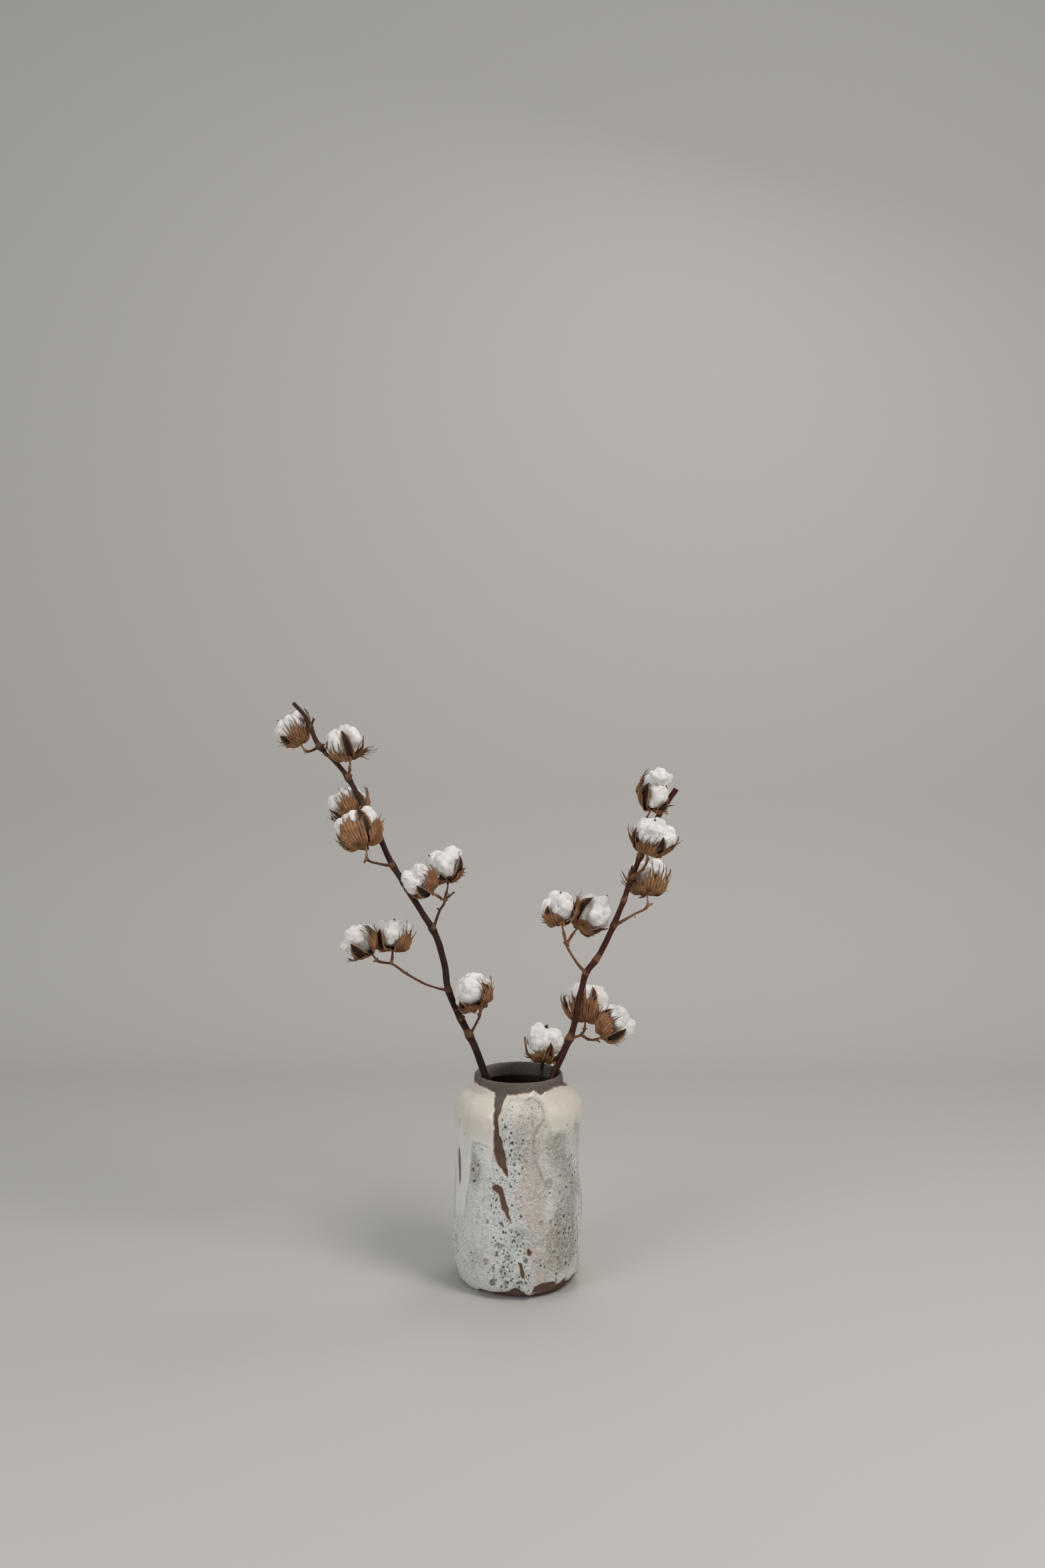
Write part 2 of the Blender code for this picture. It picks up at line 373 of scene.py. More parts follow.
def remap(tree, value, low, high, to_low=0.0, to_high=1.0):
    """Stretch low..high of a value to another range, and stop at its ends."""
    made = node(tree, "ShaderNodeMapRange", {"interpolation_type": "SMOOTHSTEP"},
                _0=value, _1=low, _2=high, _3=to_low, _4=to_high)
    return made.outputs[0]


def mix_colour(tree, share, first, second, blend="MIX"):
    made = tree.nodes.new("ShaderNodeMix")
    made.data_type = "RGBA"
    made.blend_type = blend
    return dress(tree, made, _0=share, _6=first, _7=second).outputs[2]


def stain(tree, colour, mask, strength, tint):
    """The colour, with a tint laid over it where the mask is high."""
    return mix_colour(tree, times(tree, mask, strength), colour, tint)


def noise(tree, where, scale, detail, rough, distortion=0.0):
    return node(tree, "ShaderNodeTexNoise", Vector=where, Scale=scale, Detail=detail,
                Roughness=rough, Distortion=distortion).outputs[0]


# %% Speckle
def speckle_group():
    """Grains: cells of a Voronoi pattern, kept where their random value is high."""
    group, inside, out = new_group(
        "Speckle",
        [("Vector", "NodeSocketVector", None), ("Scale", "NodeSocketFloat", 900.0),
         ("Amount", "NodeSocketFloat", 0.3), ("Radius", "NodeSocketFloat", 0.4)],
        [("Mask", "NodeSocketFloat"), ("Height", "NodeSocketFloat")])
    cells = node(group, "ShaderNodeTexVoronoi", {"feature": "F1"},
                 Vector=inside.outputs["Vector"], Scale=inside.outputs["Scale"], Randomness=1.0)
    chance = node(group, "ShaderNodeSeparateColor", _0=cells.outputs["Color"])
    size = times(group, inside.outputs["Radius"],
                 remap(group, chance.outputs[1], 0.0, 1.0, 0.45, 1.0))
    kept = maths(group, "LESS_THAN", chance.outputs[0], inside.outputs["Amount"])
    depth = maths(group, "SUBTRACT", 1.0, maths(group, "DIVIDE", cells.outputs["Distance"], size))
    mask = times(group, kept, remap(group, depth, 0.0, 0.45))
    dress(group, out, Mask=mask, Height=times(group, mask, chance.outputs[2]))
    return group


# %% Long grain and blotch
def grain_group():
    """Fibres: a noise squeezed across and stretched along the third direction."""
    group, inside, out = new_group(
        "Long grain",
        [("Vector", "NodeSocketVector", None), ("Scale", "NodeSocketFloat", 1500.0),
         ("Stretch", "NodeSocketFloat", 0.06)],
        [("Mask", "NodeSocketFloat"), ("Height", "NodeSocketFloat")])
    squeeze = node(group, "ShaderNodeCombineXYZ", _0=1.0, _1=1.0, _2=inside.outputs["Stretch"])
    where = node(group, "ShaderNodeVectorMath", {"operation": "MULTIPLY"},
                 _0=inside.outputs["Vector"], _1=squeeze.outputs[0])
    fine = noise(group, where.outputs[0], inside.outputs["Scale"], 3.0, 0.6, 0.3)
    dress(group, out, Mask=remap(group, fine, 0.35, 0.65), Height=fine)
    return group


def blotch_group():
    group, inside, out = new_group(
        "Blotch",
        [("Vector", "NodeSocketVector", None), ("Scale", "NodeSocketFloat", 60.0)],
        [("Mask", "NodeSocketFloat")])
    slow = noise(group, inside.outputs["Vector"], inside.outputs["Scale"], 4.0, 0.55, 0.4)
    dress(group, out, Mask=remap(group, slow, 0.32, 0.68))
    return group


SPECKLE, GRAIN, BLOTCH = speckle_group(), grain_group(), blotch_group()


def use_group(tree, group, **inputs):
    made = tree.nodes.new("ShaderNodeGroup")
    made.node_tree = group
    return dress(tree, made, **inputs)


print("groups:", SPECKLE.name, GRAIN.name, BLOTCH.name)


# %% Materials
def new_material(name):
    """A material with its tree, its Principled shader and the object's own coordinates."""
    material = bpy.data.materials.new(name)
    material.use_nodes = True
    tree = material.node_tree
    place = node(tree, "ShaderNodeTexCoord").outputs["Object"]
    return material, tree, tree.nodes["Principled BSDF"], place


def attribute(tree, name):
    return node(tree, "ShaderNodeAttribute", {"attribute_name": name})


def bumps(tree, shader, height, distance, strength=1.0, under=None):
    made = node(tree, "ShaderNodeBump", Height=height, Distance=distance, Strength=strength)
    if under is not None:
        tree.links.new(under, made.inputs["Normal"])
    tree.links.new(made.outputs[0], shader.inputs["Normal"])
    return made.outputs[0]


# %% [markdown]
# ## The vase: turned clay
# The pot was thrown from dark gritty clay: a flat foot, a full body with a
# slight waist, a round shoulder and a short upright neck. A turned shape could
# be a Screw modifier, but here the wall needs small dents and throwing rings,
# so the outline is swept round in code. Two numbers find any spot on it: `u`,
# the distance round the body from the middle of the front, and `z`, the height.

# %% The outline
ROUND = 80.0               # the body radius that u is measured on
COAT = 1.5                 # the glaze's usual thickness, over the clay
VASE_OUTSIDE = [
    (52, 0), (62.5, 2.4), (70, 8.5), (75.4, 19), (78.4, 38), (79.4, 64), (78.5, 95),
    (76.6, 130), (75.8, 168), (76.8, 192), (78.4, 210), (77.4, 222.5), (72.4, 232),
    (63.6, 238.4), (57.3, 242.2), (56.0, 247), (55.7, 254),
]
VASE_RIM = [(55.2, 257.6), (53.4, 259.6), (51.4, 258.6), (50.3, 255.5)]
VASE_INSIDE = [
    (50.2, 244), (61, 235), (71.5, 224), (73.4, 211), (70.6, 168), (73, 100), (74, 64),
    (72, 35), (68.4, 20), (59.5, 11.8), (40, 10.2), (20, 9.5),
]
OUTLINE_STEP = 1.25
outline = smooth_path(VASE_OUTSIDE, OUTLINE_STEP)
outline_slope = np.gradient(outline, axis=0)
outline_slope /= np.linalg.norm(outline_slope, axis=1)[:, None]
outline_out = np.stack([outline_slope[:, 1], -outline_slope[:, 0]], axis=1)
along = np.concatenate([[0], np.cumsum(np.linalg.norm(np.diff(outline, axis=0), axis=1))])


def height_to_along(z):
    """How far along the outline a height is, from the foot's edge."""
    return np.interp(z, outline[:, 1], along)


def wall_points(turn, outline_rows, outward_rows, lift):
    """Points on the vase: rows run up the outline, columns go round."""
    radius = outline_rows[:, :1] + outward_rows[:, :1] * lift
    height = outline_rows[:, 1:] + outward_rows[:, 1:] * lift
    return np.stack([radius * np.sin(turn), -radius * np.cos(turn), height], axis=2)


def uneven(turn, height):
    """How a hand-made wall strays: fuller on its left, and never quite round."""
    body = ease(15, 60, height) * (1 - ease(190, 222, height))
    lean = -1.5 * np.sin(turn) * body
    return lean + 0.5 * body * np.sin(2 * turn + 0.8) + 0.25 * np.sin(3 * turn - height / 60)


def cap_rows(points, rows, columns, bottom, top):
    """A closed wall: its quads, with a point that closes each end."""
    quads = grid_quads(rows, columns, wrap=True)
    faces = [tuple(q) for q in quads]
    low, high = len(points), len(points) + 1
    last = (rows - 1) * columns
    for c in range(columns):
        d = (c + 1) % columns
        faces.append((low, d, c))
        faces.append((high, last + c, last + d))
    return np.vstack([points, [bottom, top]]), faces


print("outline points:", len(outline))


# %% The clay wall
CLAY_COLUMNS = 264
RIM_STEP, INSIDE_STEP = 0.9, 3.0
FLOOR_MIDDLE = (0, 0, 9.4)


def clay_mesh():
    rim = smooth_path([outline[-1].tolist()] + VASE_RIM + [VASE_INSIDE[0]], RIM_STEP)
    shell = np.vstack([outline, rim[1:], smooth_path(VASE_INSIDE, INSIDE_STEP)[1:]])
    slope = np.gradient(shell, axis=0)
    slope /= np.linalg.norm(slope, axis=1)[:, None]
    outward = np.stack([slope[:, 1], -slope[:, 0]], axis=1)
    turn = np.linspace(0, 2 * math.pi, CLAY_COLUMNS, endpoint=False)[None, :]
    outside = np.arange(len(shell)) < len(outline)
    lift = np.where(outside[:, None], uneven(turn, shell[:, 1:]), 0.0)
    points = wall_points(turn, shell, outward, lift).reshape(-1, 3)
    push = 0.22 * hills(points, 9, 11) + 0.16 * hills(points, 2.4, 12)
    rings = 0.12 * np.sin(points[:, 2] * 2.3 + hills(points, 30, 13))
    normal = np.repeat(outward, CLAY_COLUMNS, axis=0)
    flat_foot = ease(0.5, 5, points[:, 2])
    around = np.tile(turn.ravel(), len(shell))
    move = (push + rings) * flat_foot
    points[:, 0] += move * normal[:, 0] * np.sin(around)
    points[:, 1] -= move * normal[:, 0] * np.cos(around)
    points[:, 2] += move * normal[:, 1]
    points, faces = cap_rows(points, len(shell), CLAY_COLUMNS, (0, 0, 0), FLOOR_MIDDLE)
    return mesh_from("vase_clay", points, faces)


# %% The look of stoneware
def clay_material():
    """Dark stoneware: grey-brown on the neck, browner where glaze drew it out."""
    material, tree, shader, place = new_material("stoneware_clay")
    height = node(tree, "ShaderNodeSeparateXYZ", _0=place).outputs[2]
    cloud = use_group(tree, BLOTCH, Vector=place, Scale=38.0).outputs["Mask"]
    grey = mix_colour(tree, cloud, rgb(80, 72, 65), rgb(99, 90, 82))
    brown = mix_colour(tree, cloud, rgb(78, 55, 43), rgb(98, 72, 57))
    body = mix_colour(tree, remap(tree, height, 0.226, 0.237), brown, grey)
    pale = use_group(tree, SPECKLE, Vector=place, Scale=720.0, Amount=0.22, Radius=0.34)
    dark = use_group(tree, SPECKLE, Vector=place, Scale=520.0, Amount=0.2, Radius=0.4)
    speckled = stain(tree, body, pale.outputs["Mask"], 0.75, rgb(163, 152, 134))
    speckled = stain(tree, speckled, dark.outputs["Mask"], 0.8, rgb(52, 44, 38))
    grit = noise(tree, place, 900.0, 3.0, 0.65)
    relief = plus(tree, grit, times(tree, pale.outputs["Height"], 0.8))
    relief = maths(tree, "SUBTRACT", relief, times(tree, dark.outputs["Mask"], 0.6))
    bumps(tree, shader, relief, 0.0006, 0.8)
    dress(tree, shader, Base_Color=speckled, Roughness=0.85)
    return material


# %% Keeping a piece
def keep_piece(name, mesh, material, slot, *nodes):
    """A finished piece: it rides with the bunch and stands for frame nodes."""
    if material is not None:
        mesh.materials.clear()
        mesh.materials.append(material)
    piece = object_from(name, mesh)
    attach(piece, "root")
    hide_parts(*nodes)
    return piece


clay = keep_piece("vase_clay", clay_mesh(), clay_material(), "stoneware", "vase")
print("clay wall:", len(clay.data.polygons), "faces")


# %% [markdown]
# ## The vase: thick white glaze
# The glaze was poured on thick. It crawled in the kiln, so it left a long bare
# streak and a few slivers of clay, boiled into pinholes and craters, ran down
# in sheets, and stopped in fat drips above the foot. All of that is real
# relief, so the coat is its own closed shell over the clay. A map of distances
# says how far each point is from the coat's edge: inside, the coat swells up
# in a round lip; outside, it sinks under the clay, and the line where the two
# cross is the edge one sees.

# %% The coat's outline
TOP_EDGE = [
    (-252, 242), (-200, 245), (-160, 242), (-118, 250), (-80, 251), (-60, 249.5), (-44, 246.6),
    (-20, 246.4), (-2, 247.4), (18, 248.6), (27, 250), (36, 246), (41, 245.4), (55, 248),
    (78, 249.3), (100, 248), (118, 243), (145, 239), (175, 242), (205, 238), (252, 242),
]
LOW_EDGE = [
    (-252, 11), (-225, 6), (-195, 13), (-165, 8), (-135, 9), (-108, 8), (-92, 5), (-80, 3.2),
    (-74, 1.6), (-68, 3.2), (-60, 7), (-46, 8.5), (-30, 9), (-14, 12.5), (-4, 17.5), (4, 13.5),
    (13, 7.2), (20, 7), (30, 9), (46, 13.5), (56, 17), (64, 21), (70, 15), (80, 19), (92, 18),
    (110, 11), (135, 8), (160, 14), (190, 6), (220, 12), (252, 11),
]
STREAK = [
    (-43, 252), (-42.5, 244.7), (-36.5, 238), (-31.8, 229.3), (-31, 220.5), (-30, 205.3),
    (-30.5, 191), (-31.2, 176.4), (-23.7, 163.3), (-13.6, 151), (-14.4, 163), (-15.2, 172),
    (-16.3, 177.7), (-20.4, 192.1), (-24.2, 206), (-25.7, 221), (-22.7, 230.7), (-24, 237.4),
    (-20.5, 244.6), (-19, 252),
]
HOOKED_SLIVER = [
    (-33.5, 136), (-31.5, 139.6), (-26, 141), (-21, 138), (-18.4, 130), (-16, 121), (-12.5, 110.7),
    (-8.6, 96.5), (-13.5, 104), (-19.8, 113.8), (-22.6, 123), (-26, 130.6), (-30, 133),
]
LOW_SLIVER = [(0.2, 50.5), (3.4, 49), (6, 41), (7.6, 31), (4.6, 29.5), (2.2, 37)]
BROWN_SPOT = [(10, 64), (12.6, 66), (15.4, 61), (13.6, 56.6), (10.6, 59)]
RIGHT_CRACK = [(92, 90), (94.6, 84), (95.4, 60), (93.8, 36), (91.6, 44), (92, 66)]
BROKEN_LIP = [(20, 17), (30, 21.5), (46, 20.5), (51, 17), (40, 11), (24, 9), (17, 9.5)]
BACK_STREAK = [
    (168, 252), (170, 236), (173, 215), (172, 196), (176, 178), (181, 168), (184, 180),
    (182, 200), (184, 222), (188, 240), (192, 252),
]
BACK_SLIVER = [(-176, 120), (-170, 126), (-165, 118), (-160, 96), (-157, 78), (-163, 90), (-169, 106)]
BARE_PLACES = [STREAK, HOOKED_SLIVER, LOW_SLIVER, BROWN_SPOT, RIGHT_CRACK, BROKEN_LIP,
               BACK_STREAK, BACK_SLIVER]


def distance_to(shape, u, v):
    """Distance in mm from each spot to a closed outline, negative inside it."""
    corners = np.array([(a, height_to_along(b)) for a, b in shape])
    best = np.full(u.shape, 1e9)
    inside = np.zeros(u.shape, dtype=bool)
    for (ax, ay), (bx, by) in zip(corners, np.roll(corners, -1, axis=0)):
        ex, ey = bx - ax, by - ay
        t = np.clip(((u - ax) * ex + (v - ay) * ey) / (ex * ex + ey * ey), 0, 1)
        best = np.minimum(best, np.hypot(u - ax - t * ex, v - ay - t * ey))
        crosses = (ay > v) != (by > v)
        inside ^= crosses & (u < ex * (v - ay) / (ey if ey else 1e-9) + ax)
    return np.where(inside, -best, best)


def edge_distance(u, v):
    """How far inside the coat each spot is; negative where the clay is bare."""
    top = height_to_along(np.interp(u, *zip(*TOP_EDGE))) - v
    low = v - height_to_along(np.interp(u, *zip(*LOW_EDGE)))
    inside = np.minimum(top * 0.8, low * 0.8)
    for shape in BARE_PLACES:
        inside = np.minimum(inside, distance_to(shape, u, v))
    return inside


# %% Where the glaze changes
FLOW_LINE = [(14, 240), (22, 241.5), (31, 236), (34, 228), (32, 219), (24.5, 211), (19.5, 201),
             (18.5, 188), (20.5, 172), (27, 158), (31, 146)]
SHEET_LINES = [
    [(-40, 186), (-52, 188), (-62, 187), (-66, 176), (-66, 158), (-71, 136), (-75, 112), (-76, 88)],
    [(-104, 168), (-108, 140), (-106, 100), (-108, 60)],
    [(-118, 190), (-121, 150), (-117, 96), (-120, 50)],
    [(84, 92), (72, 96), (70, 118)],
    [(100, 180), (104, 130), (101, 84)],
    [(140, 205), (146, 160), (142, 120), (147, 80)],
    [(-205, 200), (-210, 150), (-203, 110), (-208, 60)],
    [(225, 190), (230, 140), (226, 96)],
]
BEAD_LINE = [
    (-15, 233), (-9, 239), (0, 242), (12, 243.4), (23, 243), (31.5, 238.5), (35.5, 230), (34, 221),
]
SMOOTH_DOWN_TO = [         # the height down to which the glaze stays smooth
    (-252, 190), (-200, 170), (-122, 168), (-100, 96), (-78, 104), (-62, 184), (-34, 166),
    (-20, 236), (-14, 237), (30, 239), (44, 208), (80, 206), (120, 196), (180, 186), (252, 190),
]


def distance_to_line(line, u, v):
    best = np.full(u.shape, 1e9)
    corners = [(a, float(height_to_along(b))) for a, b in line]
    for (ax, ay), (bx, by) in zip(corners, corners[1:]):
        ex, ey = bx - ax, by - ay
        t = np.clip(((u - ax) * ex + (v - ay) * ey) / (ex * ex + ey * ey), 0, 1)
        best = np.minimum(best, np.hypot(u - ax - t * ex, v - ay - t * ey))
    return best


def spot(u, z, at_u, at_z, wide, high):
    """1 in the middle of an oval patch, 0 outside it."""
    return 1 - ease(0.35, 1.0, np.hypot((u - at_u) / wide, (z - at_z) / high))


def glaze_zones(u, z, points):
    """Shares from 0 to 1: rough, foamy, pink and grey-green glaze."""
    stray = hills(points, 26, 41, 3).reshape(u.shape)
    rough = 1 - ease(-9, 9, z - np.interp(u, *zip(*SMOOTH_DOWN_TO)) - 8 * stray)
    streak_side = spot(u, z, -14, 195, 12, 46) + spot(u, z, -6, 160, 15, 30)
    fan = spot(u, z, -22, 128, 24, 44) + spot(u, z, -14, 84, 34, 50) + spot(u, z, -10, 36, 40, 36)
    behind = spot(u, z, 196, 130, 30, 90) + spot(u, z, -150, 70, 40, 60)
    foam = np.clip(streak_side + fan + behind + 0.35 * stray * rough, 0, 1) * np.clip(rough + 0.2, 0, 1)
    pink = spot(u, z, 12, 200, 26, 50) + spot(u, z, 14, 130, 34, 60) + spot(u, z, 30, 60, 42, 56)
    pink = np.clip(pink + spot(u, z, -190, 150, 40, 70) + 0.3 * stray, 0, 1) * (1 - 0.8 * foam)
    grey = spot(u, z, 54, 186, 26, 34) + spot(u, z, 70, 110, 34, 90) + spot(u, z, 60, 66, 30, 50)
    grey = np.clip(grey + spot(u, z, 150, 90, 50, 80) + spot(u, z, -60, 150, 14, 34)
                   + 0.45 * stray, 0, 1) * rough
    return rough, foam, pink, grey


# %% Craters and pinholes
STONES = [  # u, z, half width, half height, tilt in degrees, kind
    # the lens stands for a sliver of bare clay at the left edge that lies in shade: its dark grey is
    # painted shade
    (-96.5, 151, 5.6, 27, -3, "lens"),
    (-33.5, 22, 4.6, 5.6, 35, "slate"), (-19.5, 41, 3.6, 6.4, 18, "grey"),
    (8.5, 52.5, 3.0, 5.2, -38, "slate"), (-40.5, 48.5, 3.8, 4.2, 0, "rose"),
    (-31.5, 41.5, 2.2, 2.6, 0, "slate"), (-39.5, 96, 2.6, 4.0, 10, "grey"),
    (28, 96.5, 4.2, 3.4, 0, "rose"), (41, 95.5, 2.8, 3.6, 0, "grey"),
    (-13, 55, 4.4, 4.4, 20, "grey"), (-23, 69, 5.0, 4.6, 40, "grey"),
    (-15, 24, 3.4, 4.6, 30, "grey"), (40, 140, 8.0, 8.0, 0, "ring"),
    (51.5, 101, 3.2, 3.4, 0, "ring"), (53, 89.5, 3.6, 4.8, -12, "ring"),
    (54, 70, 4.0, 4.4, 8, "ring"), (58, 80, 2.4, 3.0, 0, "ring"), (57, 127, 2.4, 3.4, -20, "ring"),
    (50, 50, 2.6, 3.0, 0, "ring"), (61, 61, 2.4, 3.0, 10, "ring"), (-160, 60, 4.0, 5.0, 20, "slate"),
    (150, 110, 3.6, 4.2, 0, "grey"), (-210, 90, 4.4, 4.0, 0, "rose"), (205, 60, 5.0, 5.4, 15, "ring"),
]
# lens: painted shade, the dark grey of clay in shade
STONE_COLOURS = {"slate": rgb(78, 84, 89), "grey": rgb(126, 130, 130), "lens": rgb(62, 62, 58),
                 "rose": rgb(148, 131, 124), "ring": rgb(128, 124, 114)}
STONE_STRENGTHS = {"slate": 0.95, "lens": 1.0, "grey": 0.85, "rose": 0.85, "ring": 0.5}
STONE_DEPTHS = {"slate": 0.8, "lens": 0.8, "grey": 0.3, "rose": 0.3, "ring": 0.8}
CRATER_TRIES = 9000


def crater_list(seed=7):
    """Seeded craters: (u, z, radius, depth, stretch), thickest where it foams."""
    rng = np.random.default_rng(seed)
    u = rng.uniform(-251, 251, CRATER_TRIES)
    z = rng.uniform(12, 238, CRATER_TRIES)
    spots = np.stack([ROUND * np.sin(u / ROUND), -ROUND * np.cos(u / ROUND), z], axis=1)
    rough, foam, _, grey = glaze_zones(u, z, spots)
    chance = 0.006 + 0.06 * rough + 0.85 * foam + 0.34 * grey * (1 - ease(110, 165, z))
    kept = rng.uniform(0, 1, CRATER_TRIES) < chance
    size = 0.5 + 1.3 * rng.uniform(0, 1, CRATER_TRIES) ** 3
    size += 0.6 * foam * rng.uniform(0, 1, CRATER_TRIES) ** 2
    size += 1.4 * grey * rng.uniform(0, 1, CRATER_TRIES) ** 3
    stretch = rng.uniform(1.0, 1.5, CRATER_TRIES)
    return [(u[i], z[i], size[i], 0.55 + 0.5 * size[i], stretch[i]) for i in np.flatnonzero(kept)]


def stamp(height, pit_shadow, rims, u_line, v_line, crater):
    """Press one crater with a raised rim into the height, pit shadow and rim maps; the pit shadow is
    painted shadow that darkens the crater's middle.
    """
    u, z, radius, depth, stretch = crater
    v = height_to_along(z)
    reach = 1.7 * radius
    columns = np.flatnonzero(np.abs(u_line - u) < reach)
    rows = np.flatnonzero(np.abs(v_line - v) < reach * stretch)
    if len(columns) == 0 or len(rows) == 0:
        return
    across = (u_line[columns][None, :] - u) / radius
    away = np.hypot(across, (v_line[rows][:, None] - v) / (radius * stretch))
    hole = np.clip(1 - away ** 2, 0, 1) ** 1.2
    rim = np.exp(-((away - 1.12) / 0.28) ** 2)
    window = np.ix_(rows, columns)
    height[window] += 0.3 * min(radius, 1.2) * rim - depth * hole
    # painted shadow: the crater's middle is darkened in colour, more for wider craters
    shadow = np.clip(2.2 * hole - 0.5, 0, 1) * min(1.0, 0.45 + 0.45 * radius)
    pit_shadow[window] = np.maximum(pit_shadow[window], shadow)
    rims[window] = np.maximum(rims[window], rim * min(1.0, 0.3 + 0.5 * radius))


print("bare places:", len(BARE_PLACES), "stones:", len(STONES), "craters:", len(crater_list()))


# %% The coat
COAT_COLUMNS = 468
COAT_ROWS = 196
COAT_BACK = -1.6           # how deep under the clay's face the coat's back lies
COAT_SPAN = (0.8, 252)     # the heights between which the coat's grid runs
BACK_ROWS = [1.0, 0.985, 0.97, 0.955, 0.94, 0.92, 0.9, 0.87, 0.83, 0.76, 0.6, 0.4, 0.2, 0.1, 0.04, 0]
TONES = {
    "cream": rgb(212, 203, 190), "cool": rgb(217, 217, 212), "foam": rgb(212, 215, 213),
    "pink": rgb(196, 181, 170), "grey": rgb(148, 139, 126), "green": rgb(104, 105, 88),
}


def lip(inside, thick):
    """The coat's height over the clay: sunk outside, a round lip just inside."""
    t = np.clip(inside / (1.25 * thick), 0, 1)
    swelled = thick * np.sqrt(np.clip(1 - (1 - t) ** 2, 0, 1))
    return np.where(inside > 0, swelled, np.maximum(0.9 * inside, -0.9))


def coat_relief(u, v, z, points):
    """Every height and colour of the coat over its grid."""
    wander = 1.1 * hills(points, 7, 21, 2).reshape(u.shape)
    drift = 1.1 * hills(points, 7, 22, 2).reshape(u.shape)
    inside = edge_distance(u + wander, v + drift)
    rough, foam, pink, grey = glaze_zones(u, z, points)
    runs = hills(points * (1, 1, 0.16), 9, 23, 2).reshape(u.shape)
    swell = hills(points, 34, 24, 2).reshape(u.shape)
    low = height_to_along(np.interp(u, *zip(*LOW_EDGE)))
    roll = 1.3 * np.exp(-((v - low - 5) / 6) ** 2)
    thick = COAT + 0.6 * swell + 0.6 * runs * (0.2 + rough) + roll
    height = lip(inside, np.maximum(thick, 0.7))
    crust = hills(points, 3.2, 25, 3).reshape(u.shape)
    knobs = hills(points * (1, 1, 0.6), 8, 27, 2).reshape(u.shape)
    on = ease(0.2, 2.5, inside)
    height += on * crust * (0.05 + 0.36 * rough + 0.16 * grey)
    height += on * knobs * (0.1 + 0.38 * rough)
    height -= on * foam * 0.35
    return inside, height, (rough, foam, pink, grey, swell, runs)


def add_lines(height, shade, u, v, on):
    """The creases where one sheet of glaze stopped beside or over another, each with a line of painted
    shade that darkens it.
    """
    flow = distance_to_line(FLOW_LINE, u, v)
    height -= on * 0.55 * np.exp(-(flow / 1.5) ** 2)
    height += on * 0.35 * np.exp(-((flow - 4) / 2.2) ** 2)
    shade += 0.95 * np.exp(-(flow / 1.8) ** 2)
    bead = distance_to_line(BEAD_LINE, u, v)
    height += on * 0.9 * np.exp(-(bead / 2.0) ** 2)
    for line in SHEET_LINES:
        gap = distance_to_line(line, u, v)
        height -= on * 0.7 * np.exp(-(gap / 0.9) ** 2)
        height += on * 0.45 * np.exp(-((gap - 3) / 2.0) ** 2)
        shade += 0.55 * np.exp(-(gap / 1.1) ** 2)


def add_stones(height, colour, u, v, on):
    """The closed blisters: sunk, ringed by a low rim, and coloured by their kind; the lens's dark grey is
    painted shade.
    """
    for at_u, at_z, wide, high, tilt, kind in STONES:
        angle = math.radians(tilt)
        du, dv = u - at_u, v - height_to_along(at_z)
        a = (du * math.cos(angle) - dv * math.sin(angle)) / wide
        b = (du * math.sin(angle) + dv * math.cos(angle)) / high
        away = np.hypot(a, b)
        inner = 1 - ease(0.72, 1.0, away)
        rim = np.exp(-((away - 1.08) / 0.2) ** 2)
        height += on * (0.3 * rim - STONE_DEPTHS[kind] * inner)
        share = (STONE_STRENGTHS[kind] * inner)[..., None]
        colour[:] = between(colour, np.array(STONE_COLOURS[kind][:3]), share)


def coat_tone(zones, z, shade):
    """The slow colours of the glaze, before its speckles."""
    rough, foam, pink, grey, swell, runs = zones
    tone = np.empty(rough.shape + (3,))
    tone[:] = TONES["cream"][:3]

    def wash(name, share):
        amount = np.clip(share, 0, 1)[..., None]
        tone[:] = between(tone, np.array(TONES[name][:3]), amount)

    wash("cool", 0.9 * (1 - ease(178, 222, z + 14 * swell)))
    wash("pink", 0.9 * pink)
    wash("foam", 0.9 * foam)
    wash("grey", 0.75 * grey + 0.15 * rough * np.clip(runs, 0, 1) + 0.45 * pink * np.clip(-runs, 0, 1))
    # the shade map is painted shade along the creases; the rest of this green is the grey patches' own
    # colour
    wash("green", 0.6 * np.clip(shade, 0, 1) + 0.6 * grey * np.clip(-swell, 0, 1))
    return tone


